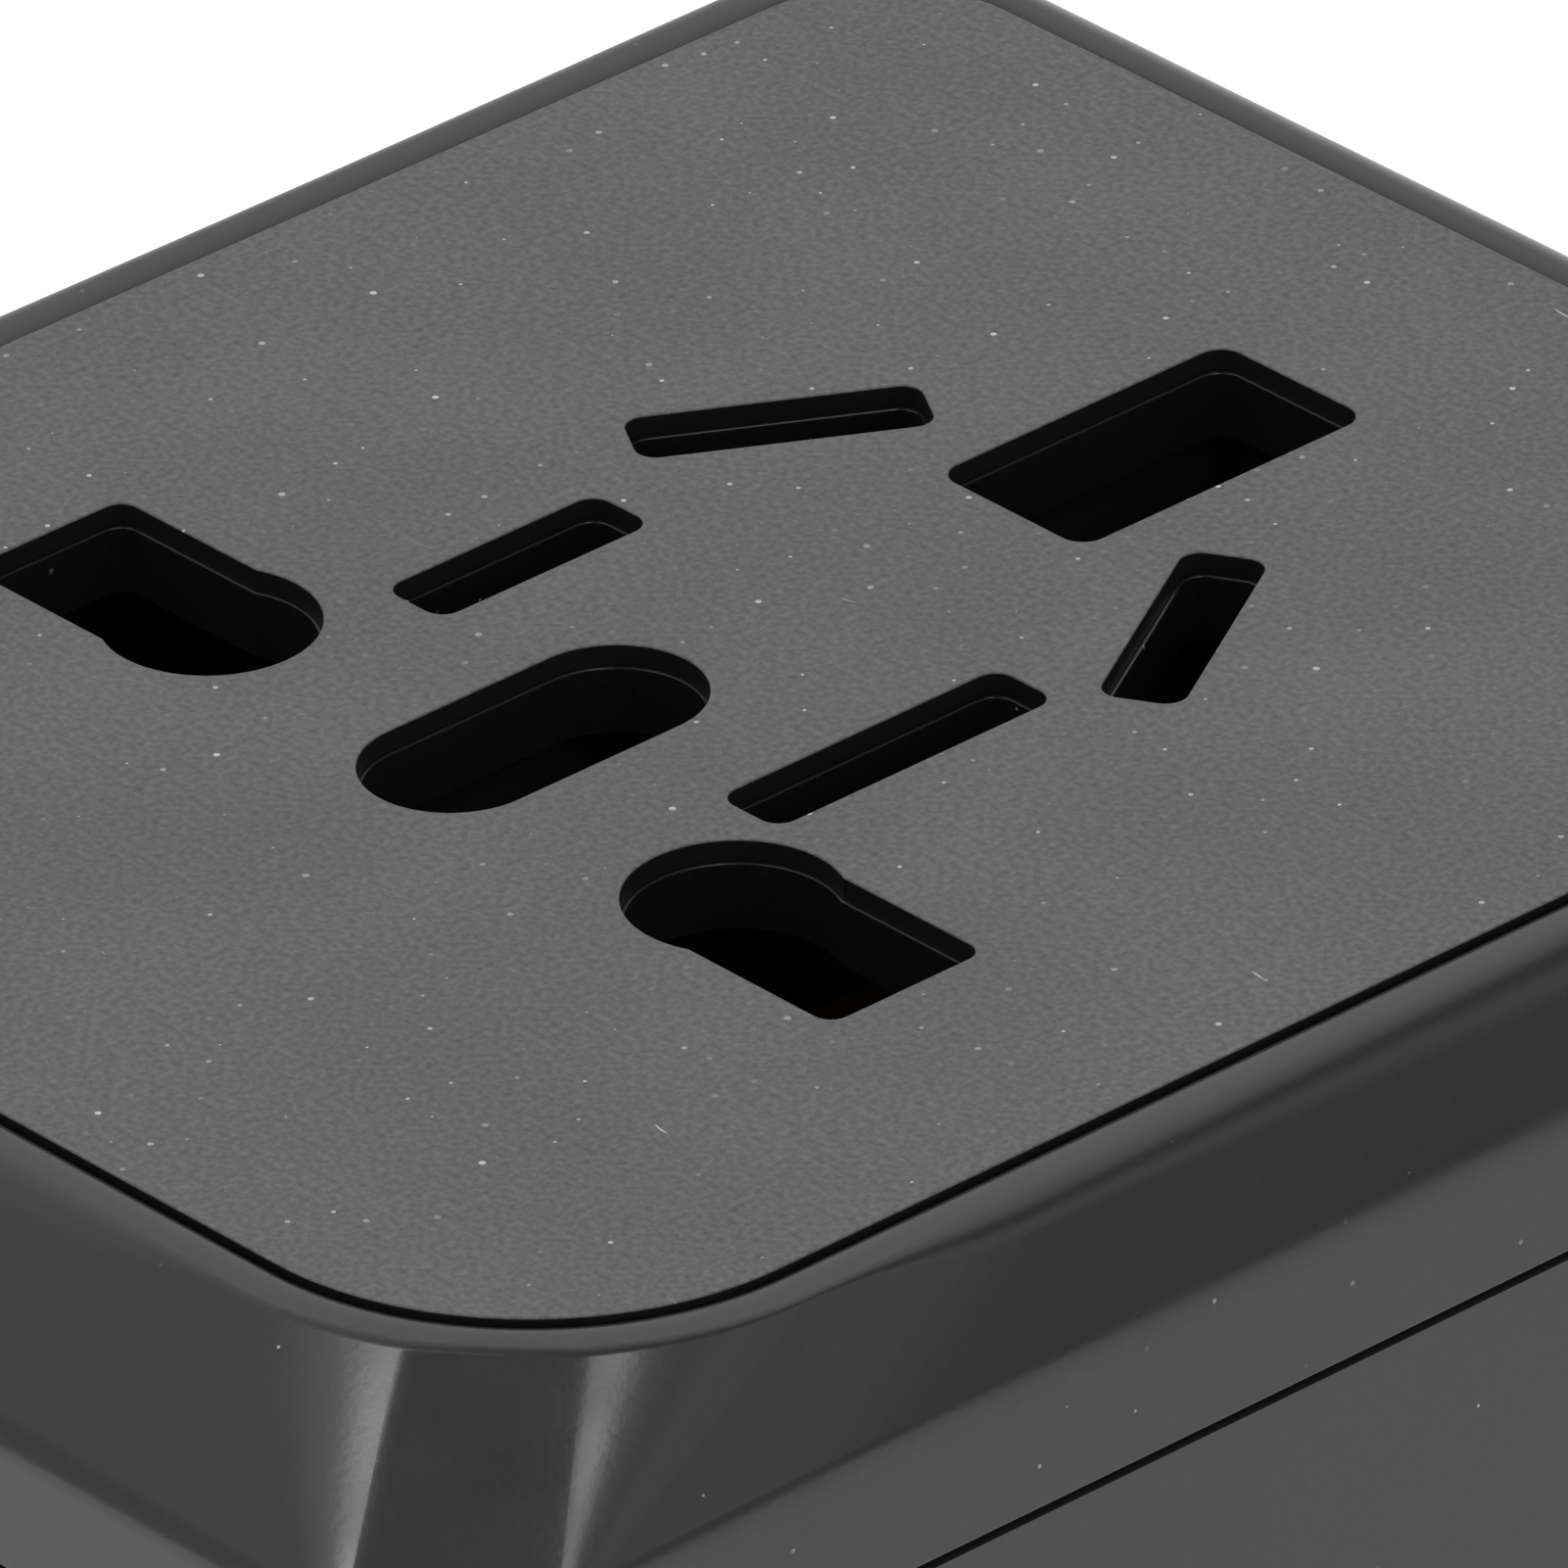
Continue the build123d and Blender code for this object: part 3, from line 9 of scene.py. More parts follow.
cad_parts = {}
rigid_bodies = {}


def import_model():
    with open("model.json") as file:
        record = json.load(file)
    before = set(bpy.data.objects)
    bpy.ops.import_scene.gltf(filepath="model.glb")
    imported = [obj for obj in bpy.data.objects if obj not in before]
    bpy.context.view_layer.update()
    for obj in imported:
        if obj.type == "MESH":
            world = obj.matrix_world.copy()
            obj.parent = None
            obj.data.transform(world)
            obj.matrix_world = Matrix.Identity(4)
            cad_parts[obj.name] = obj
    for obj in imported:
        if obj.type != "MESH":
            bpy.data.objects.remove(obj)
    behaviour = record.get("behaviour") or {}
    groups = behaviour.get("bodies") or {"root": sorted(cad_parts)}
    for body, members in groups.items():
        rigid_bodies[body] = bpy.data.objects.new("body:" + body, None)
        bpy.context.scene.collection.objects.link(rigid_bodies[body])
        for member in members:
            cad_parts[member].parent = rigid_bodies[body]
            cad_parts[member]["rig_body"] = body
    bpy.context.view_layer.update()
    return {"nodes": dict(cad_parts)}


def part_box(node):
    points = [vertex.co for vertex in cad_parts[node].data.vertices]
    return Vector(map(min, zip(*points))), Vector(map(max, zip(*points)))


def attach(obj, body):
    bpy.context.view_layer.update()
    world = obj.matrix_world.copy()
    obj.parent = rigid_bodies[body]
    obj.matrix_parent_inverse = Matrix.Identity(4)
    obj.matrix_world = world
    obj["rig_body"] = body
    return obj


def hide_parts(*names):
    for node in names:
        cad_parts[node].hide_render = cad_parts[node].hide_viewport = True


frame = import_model()
nodes = frame["nodes"]
bpy.context.scene.view_settings.view_transform = "Standard"


# Camera: a long lens close above one corner, so that the socket panel, its rim and the top
# of two sides fill the picture. All of it is in the converter's own frame.
view_side = math.radians(47.98)
view_height = math.radians(29.368)
view_roll = math.radians(-0.985)
view_distance = 0.66892
aim_point = Vector((0.006155, -0.003341, 0.072))
frame_pixels, focal_pixels = 1601, 28833.8
back = Vector((
    math.sin(view_side) * math.cos(view_height),
    -math.cos(view_side) * math.cos(view_height),
    math.sin(view_height),
))
level_right = Vector((math.cos(view_side), math.sin(view_side), 0))
right = math.cos(view_roll) * level_right + math.sin(view_roll) * back.cross(level_right)
up = back.cross(right)
camera = bpy.data.objects.new("camera", bpy.data.cameras.new("camera"))
camera.data.sensor_width = 36
camera.data.lens = camera.data.sensor_width * focal_pixels / frame_pixels
camera.data.clip_end = 20
camera.matrix_world = Matrix.LocRotScale(
    aim_point + back * view_distance, Matrix((right, up, back)).transposed(), None
)
bpy.context.scene.collection.objects.link(camera)
bpy.context.scene.camera = camera


# Studio: a sheet of white card below the converter, clear of its longest pins, and a white sweep
# behind it, in a dim room. Two soft boxes above the near corner make the pale streaks there.
def linear(code):
    """sRGB hex to linear colour: each channel over 12.92 where dark, else the 2.4 power curve."""
    channels = np.array([int(code[i:i + 2], 16) for i in (1, 3, 5)]) / 255
    bright = ((channels + 0.055) / 1.055) ** 2.4
    return (*np.where(channels <= 0.04045, channels / 12.92, bright).tolist(), 1.0)


def add(tree, kind, inputs=None, **settings):
    """Adds one node: its settings first, then each input as a value or as another node's output."""
    made = tree.nodes.new(kind)
    for name, value in settings.items():
        setattr(made, name, value)
    for socket, value in (inputs or {}).items():
        if isinstance(value, bpy.types.NodeSocket):
            tree.links.new(value, made.inputs[socket])
        else:
            made.inputs[socket].default_value = value
    return made


def towards(azimuth, height):
    """Unit vector at an azimuth from +X and a height above the floor, both in degrees."""
    turn, lift = math.radians(azimuth), math.radians(height)
    return Vector((math.cos(turn) * math.cos(lift), math.sin(turn) * math.cos(lift), math.sin(lift)))


def met_directly(tree, rays):
    """1 for a ray straight from the camera or through clear glass, else 0."""
    kinds = {0: rays["Is Camera Ray"], 1: rays["Is Transmission Ray"]}
    return add(tree, "ShaderNodeMath", kinds, operation="MAXIMUM").outputs[0]


def new_material(name):
    """An empty node material, its tree, and the place in the piece from its Object coordinates."""
    made = bpy.data.materials.new(name)
    made.use_nodes = True
    made.node_tree.nodes.clear()
    return made, made.node_tree, add(made.node_tree, "ShaderNodeTexCoord").outputs["Object"]


# Each glow is one bright part of the room: its azimuth and height, how far it reaches, its even
# core, all in degrees, and how much it adds to the dim level.
studio = bpy.data.worlds.new("studio")
studio.use_nodes = True
room = studio.node_tree
room.nodes.clear()
direction = add(room, "ShaderNodeTexCoord").outputs["Generated"]
glows = (
    (138, 22, 62, 31, 0.71),
    (229, 49, 37, 8, 0.68),
    (356, 46, 24, 6, 0.50),
    (14, 20, 40, 8, 0.72),
    (219, 0, 34, 8, 0.40),
    (243, 65, 19, 5, 0.95),
    (347, 62, 15, 5, 0.70),
)
level = 0.25
for azimuth, height, reach, core, gain in glows:
    centre = towards(azimuth, height)
    facing = add(room, "ShaderNodeVectorMath", {0: direction, 1: centre}, operation="DOT_PRODUCT")
    glow = add(
        room,
        "ShaderNodeMapRange",
        {
            "Value": facing.outputs["Value"],
            "From Min": math.cos(math.radians(reach)),
            "From Max": math.cos(math.radians(core)),
            "To Min": 0.0,
            "To Max": gain,
        },
        interpolation_type="SMOOTHSTEP",
    )
    lit = add(room, "ShaderNodeMath", {0: glow.outputs["Result"], 1: level}, operation="ADD")
    level = lit.outputs[0]
seen = met_directly(room, add(room, "ShaderNodeLightPath").outputs)
dim = add(room, "ShaderNodeBackground", {"Color": linear("#e7e7e7"), "Strength": level})
white = add(room, "ShaderNodeBackground", {"Color": linear("#ffffff"), "Strength": 1.0})
sky = add(room, "ShaderNodeMixShader", {0: seen, 1: dim.outputs[0], 2: white.outputs[0]})
add(room, "ShaderNodeOutputWorld", {"Surface": sky.outputs[0]})
bpy.context.scene.world = studio

# The soft boxes: azimuth, height, width of the square in metres and power in watts.
soft_boxes = (("left soft box", 245, 71, 0.18, 0.78), ("right soft box", 347, 68, 0.17, 0.54))
box_aim, box_distance = Vector((0, 0, 0.06)), 1.2
for name, azimuth, height, size, power in soft_boxes:
    data = bpy.data.lights.new(name, "AREA")
    data.shape = "SQUARE"
    data.size = size
    data.energy = power
    away = towards(azimuth, height)
    box = bpy.data.objects.new(name, data)
    position = box_aim + away * box_distance
    box.matrix_world = Matrix.LocRotScale(position, away.to_track_quat("Z", "Y"), None)
    box.visible_camera = False
    bpy.context.scene.collection.objects.link(box)

# The card glows as it is met: white to the camera, and in reflections a little dimmer towards the
# right of the picture.
card_half, card_drop = 0.27, 0.03
card_white_glow, card_far_glow = 0.72, 0.45
white_until, dimmest_from = -0.1, 0.35
card_corners = [(x * card_half, y * card_half, 0) for x, y in ((-1, -1), (1, -1), (1, 1), (-1, 1))]
card_mesh = bpy.data.meshes.new("white card")
card_mesh.from_pydata(card_corners, [], [(0, 1, 2, 3)])
card = bpy.data.objects.new("white_card", card_mesh)
card.location.z = -card_drop
bpy.context.scene.collection.objects.link(card)
card_white, tree, spot = new_material("white card")
rays = add(tree, "ShaderNodeLightPath").outputs
seen = met_directly(tree, rays)
straight = add(tree, "ShaderNodeMath", {0: seen, 1: card_white_glow}, operation="MULTIPLY")
across = add(tree, "ShaderNodeVectorMath", {0: spot, 1: towards(44, 0)}, operation="DOT_PRODUCT")
falling = add(
    tree,
    "ShaderNodeMapRange",
    {
        "Value": across.outputs["Value"],
        "From Min": white_until,
        "From Max": dimmest_from,
        "To Min": card_white_glow,
        "To Max": card_far_glow,
    },
)
mirrored = add(
    tree,
    "ShaderNodeMath",
    {0: rays["Is Glossy Ray"], 1: falling.outputs["Result"], 2: straight.outputs[0]},
    operation="MULTIPLY_ADD",
)
shaded = add(tree, "ShaderNodeBsdfDiffuse", {"Color": linear("#f2f2f2")})
glowing = add(tree, "ShaderNodeEmission", {"Strength": mirrored.outputs[0]})
mixed = add(tree, "ShaderNodeAddShader", {0: shaded.outputs[0], 1: glowing.outputs[0]})
add(tree, "ShaderNodeOutputMaterial", {"Surface": mixed.outputs[0]})
card_mesh.materials.append(card_white)


# Socket panel: a thin plate of black ABS moulded against a spark-eroded tool, which leaves it
# matt with a very fine grain. It is let into the shell, and has picked up a little white dust.
def finish(tree, colour, roughness, relief, depth, strength, more=()):
    """Ends a material: a surface in this colour, with its relief from 0 to 1 as a bump of a depth."""
    bump = add(tree, "ShaderNodeBump", {"Height": relief, "Distance": depth, "Strength": strength})
    inputs = {"Base Color": colour, "Roughness": roughness, "Normal": bump.outputs["Normal"]}
    surface = add(tree, "ShaderNodeBsdfPrincipled", inputs | dict(more))
    add(tree, "ShaderNodeOutputMaterial", {"Surface": surface.outputs[0]})


def box_of(node):
    """Lowest and highest corner of a node as arrays."""
    low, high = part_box(node)
    return np.array(low), np.array(high)


def put(name, mesh, material, node, body=None):
    """Shows a finished mesh with its material in place of a node, or as a piece of a body's own."""
    mesh.materials.clear()
    mesh.materials.append(material)
    piece = bpy.data.objects.new(name, mesh)
    bpy.context.scene.collection.objects.link(piece)
    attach(piece, body or nodes[node]["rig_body"])
    if node:
        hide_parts(node)
    return piece


def arc(centre, radius, start, end, count):
    """Points on a circle: centre plus radius times (cos, sin) of evenly spaced angles in degrees."""
    angle = np.radians(np.linspace(start, end, count))
    return np.array(centre) + radius * np.stack((np.cos(angle), np.sin(angle)), axis=1)


def rounded_rectangle(centre, size, radius, turn=0.0, count=9):
    """Quarter arcs round a rectangle's corners, turned about its centre; two radii are far and near."""
    far, near = radius if isinstance(radius, tuple) else (radius, radius)
    corners = ((1, 1, 0, far), (-1, 1, 90, far), (-1, -1, 180, near), (1, -1, 270, near))
    half = np.array(size) / 2
    loop = np.concatenate([arc((half - r) * (x, y), r, a, a + 90, count) for x, y, a, r in corners])
    cosine, sine = math.cos(math.radians(turn)), math.sin(math.radians(turn))
    return loop @ np.array(((cosine, sine), (-sine, cosine))) + centre


def keyhole(side, centre, bore, reach, height, corner):
    """A round hole about its centre, opened away from the middle into a slot of the given height."""
    meet = math.degrees(math.asin(height / bore))
    bow = arc((0, 0), bore / 2, meet, 360 - meet, 49)
    lower = arc((reach - corner, corner - height / 2), corner, -90, 0, 7)
    upper = arc((reach - corner, height / 2 - corner), corner, 0, 90, 7)
    loop = np.concatenate((bow, lower, upper)) * (side, 1) + centre
    return loop if side > 0 else loop[::-1]


def plate(name, outline, holes, low, high, edge):
    """A flat closed plate between two heights, with holes through it and arrises rounded by edge."""
    curve = bpy.data.curves.new(name, "CURVE")
    curve.dimensions = "2D"
    curve.fill_mode = "BOTH"
    for loop in (outline, *(hole[::-1] for hole in holes)):
        spline = curve.splines.new("POLY")
        spline.points.add(len(loop) - 1)
        points = np.column_stack((loop, np.zeros(len(loop)), np.ones(len(loop))))
        spline.points.foreach_set("co", points.ravel())
        spline.use_cyclic_u = True
    curve.extrude = (high - low) / 2 - edge
    curve.bevel_depth = edge
    curve.bevel_resolution = 2
    curve.offset = -edge
    holder = bpy.data.objects.new(name, curve)
    mesh = bpy.data.meshes.new_from_object(holder)
    mesh.transform(Matrix.Translation((0, 0, (low + high) / 2)))
    bpy.data.objects.remove(holder)
    return mesh


weld_reach = 1e-6


def soften(mesh, sharp_angle=32):
    """Welds a mesh and shades it smooth, with the edges that turn more than the angle left sharp."""
    whole = bmesh.new()
    whole.from_mesh(mesh)
    bmesh.ops.remove_doubles(whole, verts=whole.verts, dist=weld_reach)
    whole.to_mesh(mesh)
    whole.free()
    mesh.shade_smooth()
    mesh.set_sharp_from_angle(angle=math.radians(sharp_angle))
    return mesh


def even_shading(piece):
    """Flat faces keep their own shading next to narrow roundings: normals weighted by face area."""
    weighting = piece.modifiers.new("even shading", "WEIGHTED_NORMAL")
    weighting.keep_sharp = True
    weighting.weight = 100


def dust(tree, place, spacing, share, size, dimensions="3D"):
    """Strength of small specks, else 0: at most one to a cell, in a share of the cells."""
    cells = {"Vector": place, "Scale": 1 / spacing}
    cell = add(tree, "ShaderNodeTexVoronoi", cells, voronoi_dimensions=dimensions).outputs
    tints = add(tree, "ShaderNodeSeparateColor", {0: cell["Color"]}).outputs
    chosen = add(tree, "ShaderNodeMath", {0: tints[0], 1: share}, operation="LESS_THAN").outputs[0]
    width = add(tree, "ShaderNodeMath", {0: tints[1], 1: size / spacing}, operation="MULTIPLY")
    inside = {0: cell["Distance"], 1: width.outputs[0]}
    near = add(tree, "ShaderNodeMath", inside, operation="LESS_THAN").outputs[0]
    shades = {"Value": tints[2], "From Min": 0.3, "To Min": 0.1}
    strength = add(tree, "ShaderNodeMapRange", shades).outputs["Result"]
    lying = add(tree, "ShaderNodeMath", {0: chosen, 1: near}, operation="MULTIPLY").outputs[0]
    return add(tree, "ShaderNodeMath", {0: lying, 1: strength}, operation="MULTIPLY").outputs[0]


# Spark-eroded ABS: grey in the light from its roughness, with the tool's grain drawn at 0.2 mm,
# so that the face looks like fine sandpaper with stray white dust and a few short fibres. The
# edges of the plate and its cut-outs come off polished steel, and are painted near black: painted
# shade.
panel_abs, tree, place = new_material("spark-eroded black ABS")
grain = add(tree, "ShaderNodeTexNoise", {"Vector": place, "Scale": 1 / 0.2e-3, "Detail": 2.0})
patches = add(tree, "ShaderNodeTexNoise", {"Vector": place, "Scale": 1 / 7e-3, "Detail": 2.0})
speckle = add(
    tree, "ShaderNodeMath", {0: grain.outputs["Fac"], 1: 1.7, 2: -0.55}, operation="MULTIPLY_ADD"
)
level = add(
    tree,
    "ShaderNodeMath",
    {0: patches.outputs["Fac"], 1: 0.4, 2: speckle.outputs[0]},
    operation="MULTIPLY_ADD",
)
tone = add(
    tree,
    "ShaderNodeMix",
    {"Factor": level.outputs[0], "A": linear("#525353"), "B": linear("#7e7f7f")},
    data_type="RGBA",
)
bent = add(tree, "ShaderNodeTexNoise", {"Vector": place, "Scale": 1 / 0.8e-3, "Detail": 0.0})
wander = add(
    tree,
    "ShaderNodeVectorMath",
    {0: bent.outputs["Color"], 1: (0.5e-3, 0.5e-3, 0)},
    operation="MULTIPLY",
)
wandered = add(tree, "ShaderNodeVectorMath", {0: place, 1: wander.outputs[0]}, operation="ADD")
stretched = add(
    tree,
    "ShaderNodeMapping",
    {"Vector": wandered.outputs[0], "Rotation": (0, 0, 0.7), "Scale": (0.12, 1, 1)},
)
fibres = dust(tree, stretched.outputs[0], 1.3e-3, 0.16, 0.05e-3, "2D")
specks = dust(tree, place, 1.2e-3, 0.5, 0.09e-3, "2D")
lying = add(tree, "ShaderNodeMath", {0: specks, 1: fibres}, operation="MAXIMUM")
dusty = add(
    tree,
    "ShaderNodeMix",
    {"Factor": lying.outputs[0], "A": tone.outputs["Result"], "B": linear("#e6e6e4")},
    data_type="RGBA",
)
panel_low, panel_high = box_of("face_panel")
height = add(tree, "ShaderNodeSeparateXYZ", {0: place}).outputs["Z"]
skin = float(panel_high[2]) - 0.04e-3
face = add(tree, "ShaderNodeMath", {0: height, 1: skin}, operation="GREATER_THAN").outputs[0]
# Painted shade: below the face's skin, on the plate's edges and the walls of its cut-outs, the colour
# is painted near black.
coloured = add(
    tree,
    "ShaderNodeMix",
    {"Factor": face, "A": linear("#212121"), "B": dusty.outputs["Result"]},
    data_type="RGBA",
)
gloss = add(tree, "ShaderNodeMapRange", {"Value": face, "To Min": 0.35, "To Max": 0.5})
colour, roughness = coloured.outputs["Result"], gloss.outputs["Result"]
finish(tree, colour, roughness, grain.outputs["Fac"], 0.012e-3, 0.4, {"IOR": 1.5})

# The face is drawn a little short of its node on +X and -Y, where the real gap line runs, and its
# far corners are tighter than the near ones. The cut-outs are placed from the line of the pins.
short_right, short_front = 0.4e-3, 0.25e-3
face_low, face_high = panel_low[:2] + (0, short_front), panel_high[:2] - (short_right, 0)
face_middle, face_size = (face_low + face_high) / 2, face_high - face_low
far_corner, near_corner = 4.2e-3, 8.2e-3
pin_line, pin_slot_x = -7.81e-3, 9.29e-3
pin_bore, pin_slot_reach, pin_slot_height, pin_slot_round = 5.4e-3, 6.01e-3, 4.91e-3, 0.5e-3
earth_above, earth_size, earth_round = 22.2e-3, (5.13e-3, 9.44e-3), 0.65e-3
middle_above, middle_size, middle_round = 2.03e-3, (4.61e-3, 9.755e-3), 2.304e-3
flat_x, flat_above, flat_width, flat_lengths = 6.55e-3, 7.44e-3, 2.08e-3, (6.81e-3, 8.99e-3)
slanted_x, slanted_above, slanted_size, slant = 7.155e-3, 16.51e-3, (2.13e-3, 7.41e-3), 30
blade_slot_round = 0.55e-3


def socket_cuts(grow):
    """The cut-outs of the socket face, each side moved outwards by grow: eight closed loops."""
    wider = 2 * grow

    def slot(x, above, size, radius, turn=0, count=9):
        """One slot, at a height above the line of the pins."""
        size = (size[0] + wider, size[1] + wider)
        return rounded_rectangle((x, pin_line + above), size, radius, turn, count)

    cuts = [
        slot(0, earth_above, earth_size, earth_round),
        slot(0, middle_above, middle_size, middle_round + grow, 0, 25),
    ]
    for side, length in zip((-1, 1), flat_lengths):
        cuts += [
            slot(side * flat_x, flat_above, (flat_width, length), blade_slot_round),
            slot(side * slanted_x, slanted_above, slanted_size, blade_slot_round, side * slant),
            keyhole(
                side,
                (side * pin_slot_x, pin_line),
                pin_bore + wider,
                pin_slot_reach + grow,
                pin_slot_height + wider,
                pin_slot_round,
            ),
        ]
    return cuts


outline = rounded_rectangle(face_middle, face_size, (far_corner, near_corner), 0, 41)
panel_mesh = plate("socket_panel", outline, socket_cuts(0), panel_low[2], panel_high[2], 0.05e-3)
even_shading(put("socket_panel", soften(panel_mesh, 12), panel_abs, "face_panel"))


# Top shell: one deep moulding in black ABS from a polished tool. A narrow rounded rim stands round
# the panel, a hair below it; slopes run down to the walls, and a flat facet takes off each corner.
def loop_round(quarters, side_points=24):
    """Four corner outlines joined into one loop, with points spread along the straights."""
    steps = np.linspace(0, 1, side_points + 2)[1:-1, None]
    pieces = []
    for part, following in zip(quarters, quarters[1:] + quarters[:1]):
        pieces += [part, part[-1] + (following[0] - part[-1]) * steps]
    return np.concatenate(pieces)


def rim_loop(low, high, far, near, cut=0.0):
    """A rectangle with far and near corner radii, each arc cut towards its chord between two angles."""
    quarters = []
    for side, radius in (((1, 1), far), ((-1, 1), far), ((-1, -1), near), ((1, -1), near)):
        first = arc((0, 0), radius, 0, facet_start, divided[0])
        between = arc((0, 0), radius, facet_start, facet_end, divided[1])
        second = arc((0, 0), radius, facet_end, 90, divided[2])
        chord = first[-1] + (second[0] - first[-1]) * np.linspace(0, 1, divided[1])[:, None]
        quarter = np.concatenate((first, between + (chord - between) * cut, second)) * side
        centre = np.where(np.array(side) > 0, high - radius, low + radius)
        quarters.append((quarter if side[0] == side[1] else quarter[::-1]) + centre)
    return loop_round(quarters)


def wall_loop(inset, blend):
    """The body's outline moved inwards, with a flat facet between two blend arcs in each corner."""
    half = body_half - inset
    reach = facet_normal @ (body_half[0], body_half[1] - facet_cut[1]) - inset - blend
    inner = half - blend
    first = (inner[0], (reach - facet_normal[0] * inner[0]) / facet_normal[1])
    second = ((reach - facet_normal[1] * inner[1]) / facet_normal[0], inner[1])
    start = arc(first, blend, 0, facet_angle, divided[0])
    end = arc(second, blend, facet_angle, 90, divided[2])
    facet = start[-1] + (end[0] - start[-1]) * np.linspace(0, 1, divided[1])[:, None]
    quarter = np.concatenate((start, facet, end))
    mirrored = quarter[::-1]
    return loop_round([quarter, mirrored * (-1, 1), -quarter, mirrored * (1, -1)])


def at(loop, height):
    """A loop lifted to a height: one row of points."""
    return np.column_stack((loop, np.full(len(loop), height)))


def rounding(before, corner, after, first, second, count):
    """Rows of a quadratic curve across a corner, from first short of it to second past it."""
    one, two = before - corner, after - corner
    start = corner + one / np.linalg.norm(one, axis=1, keepdims=True) * np.reshape(first, (-1, 1))
    end = corner + two / np.linalg.norm(two, axis=1, keepdims=True) * np.reshape(second, (-1, 1))
    steps = np.linspace(0, 1, count)[:, None, None]
    return (1 - steps) ** 2 * start + 2 * steps * (1 - steps) * corner + steps**2 * end


def grid_mesh(name, rows, closed):
    """Quads between each row of points and the next, round each row, back to the first if closed."""
    count, around = rows.shape[:2]
    strips = count if closed else count - 1
    row, column = np.meshgrid(np.arange(strips), np.arange(around), indexing="ij")
    here, below, beside = row * around, (row + 1) % count * around, (column + 1) % around
    faces = np.stack((here + column, below + column, below + beside, here + beside), -1)
    mesh = bpy.data.meshes.new(name)
    mesh.from_pydata(rows.reshape(-1, 3), [], faces.reshape(-1, 4))
    return mesh


# Sizes of the moulding: its corner facets, the gap round the panel, the drop of the rim below the
# panel, the slope and the seam below the top, and the lip that goes down into the housing.
shell_high = box_of("top_shell")[1]
body_half = shell_high[:2]
facet_cut = np.array((3.6e-3, 4.6e-3))
facet_angle = math.degrees(math.atan2(facet_cut[0], facet_cut[1]))
facet_normal = facet_cut[::-1] / np.hypot(*facet_cut)
facet_start, facet_end = 36.0, 60.5
corner_blend = 1.2e-3
divided = (24, 16, 24)
panel_gap, rim_drop, deck_thick = 0.14e-3, 0.09e-3, 1.8e-3
slope_depth, seam_depth = 3.85e-3, 7.45e-3
lip_inset, lip_inner, lip_blend, lip_depth, snap_depth = 2.1e-3, 3.3e-3, 1e-3, 2.5e-3, 1.25e-3
top, deck_top = shell_high[2] - rim_drop, panel_low[2]
chamfer_z, seam_z = shell_high[2] - slope_depth, shell_high[2] - seam_depth
deck_bottom, lip_low, snap_z = deck_top - deck_thick, seam_z - lip_depth, seam_z - snap_depth

# A groove as deep as it is wide parts the deck from the rim, so the deck ends short of the face.
groove = 0.6e-3
groove_floor, short = deck_top - groove, groove - panel_gap
deck_edge = rim_loop(face_low + short, face_high - short, far_corner - short, near_corner - short)
rim_inner = rim_loop(
    face_low - panel_gap, face_high + panel_gap, far_corner + panel_gap, near_corner + panel_gap
)

# The rim has its own width on each side: -X and -Y, then +X and +Y. Round the near corner it is
# only part of that, and it broadens over a length past the corner's ends.
rim_low, rim_high, chord_share = (1.7e-3, 1.9e-3), (1.9e-3, 1.35e-3), 0.8
narrow_share, broadening = 0.7, 7e-3
full_far, full_near = far_corner + rim_low[0], near_corner + rim_low[1]
full_rim = rim_loop(face_low - rim_low, face_high + rim_high, full_far, full_near, chord_share)
past_right = (face_high[0] - near_corner, face_low[1] + near_corner) - rim_inner
past_left = (face_low[0] + near_corner, face_low[1] + near_corner) - rim_inner
past_corner = np.minimum(
    np.maximum(past_right[:, 0], -past_right[:, 1]), np.maximum(-past_left[:, 0], -past_left[:, 1])
)
broad = np.clip(past_corner / broadening, 0, 1)
broad = broad * broad * (3 - 2 * broad)
rim = rim_inner + (full_rim - rim_inner) * (narrow_share + (1 - narrow_share) * broad)[:, None]
rim_width = np.linalg.norm(rim - rim_inner, axis=1)

# From the groove over the rim, down the slope and the band to the seam, round the lip and back
# under the deck. Each rounding says how far it starts before its corner and ends past it. It is
# wider where the rim is broad, and where the slope is steep: a run of 2.6 mm down to 1 mm.
wall_outline = wall_loop(0, corner_blend)
lip_outside, lip_inside = wall_loop(lip_inset, lip_blend), wall_loop(lip_inner, lip_blend)
run = np.linalg.norm(wall_outline - rim, axis=1)
steep = np.clip((2.6e-3 - run) / 1.6e-3, 0, 1)
root, inner_arris, arris = at(rim_inner, groove_floor), at(rim_inner, top), at(rim, top)
shoulder, foot, ledge = at(wall_outline, chamfer_z), at(wall_outline, seam_z), at(lip_outside, seam_z)
lip_foot, lip_end = at(lip_outside, lip_low), at(lip_inside, lip_low)
rows = np.concatenate((
    root[None],
    rounding(root, inner_arris, arris, 0.14e-3, 0.55 * rim_width, 13),
    rounding(
        inner_arris, arris, shoulder, (0.15 + 0.3 * broad) * rim_width, 0.2e-3 + 0.95e-3 * broad, 15
    ),
    rounding(arris, shoulder, foot, 0.7e-3 + 0.2e-3 * steep, 0.7e-3 + 0.1e-3 * steep, 13),
    rounding(shoulder, foot, ledge, 0.1e-3, 0.1e-3, 9),
    ledge[None],
    rounding(ledge, lip_foot, lip_end, 0.2e-3, 0.2e-3, 5),
    lip_end[None],
    at(lip_inside, deck_bottom)[None],
    at(deck_edge, deck_bottom)[None],
    at(deck_edge, groove_floor)[None],
))
shell_parts = [grid_mesh("shell wall", rows, True)]

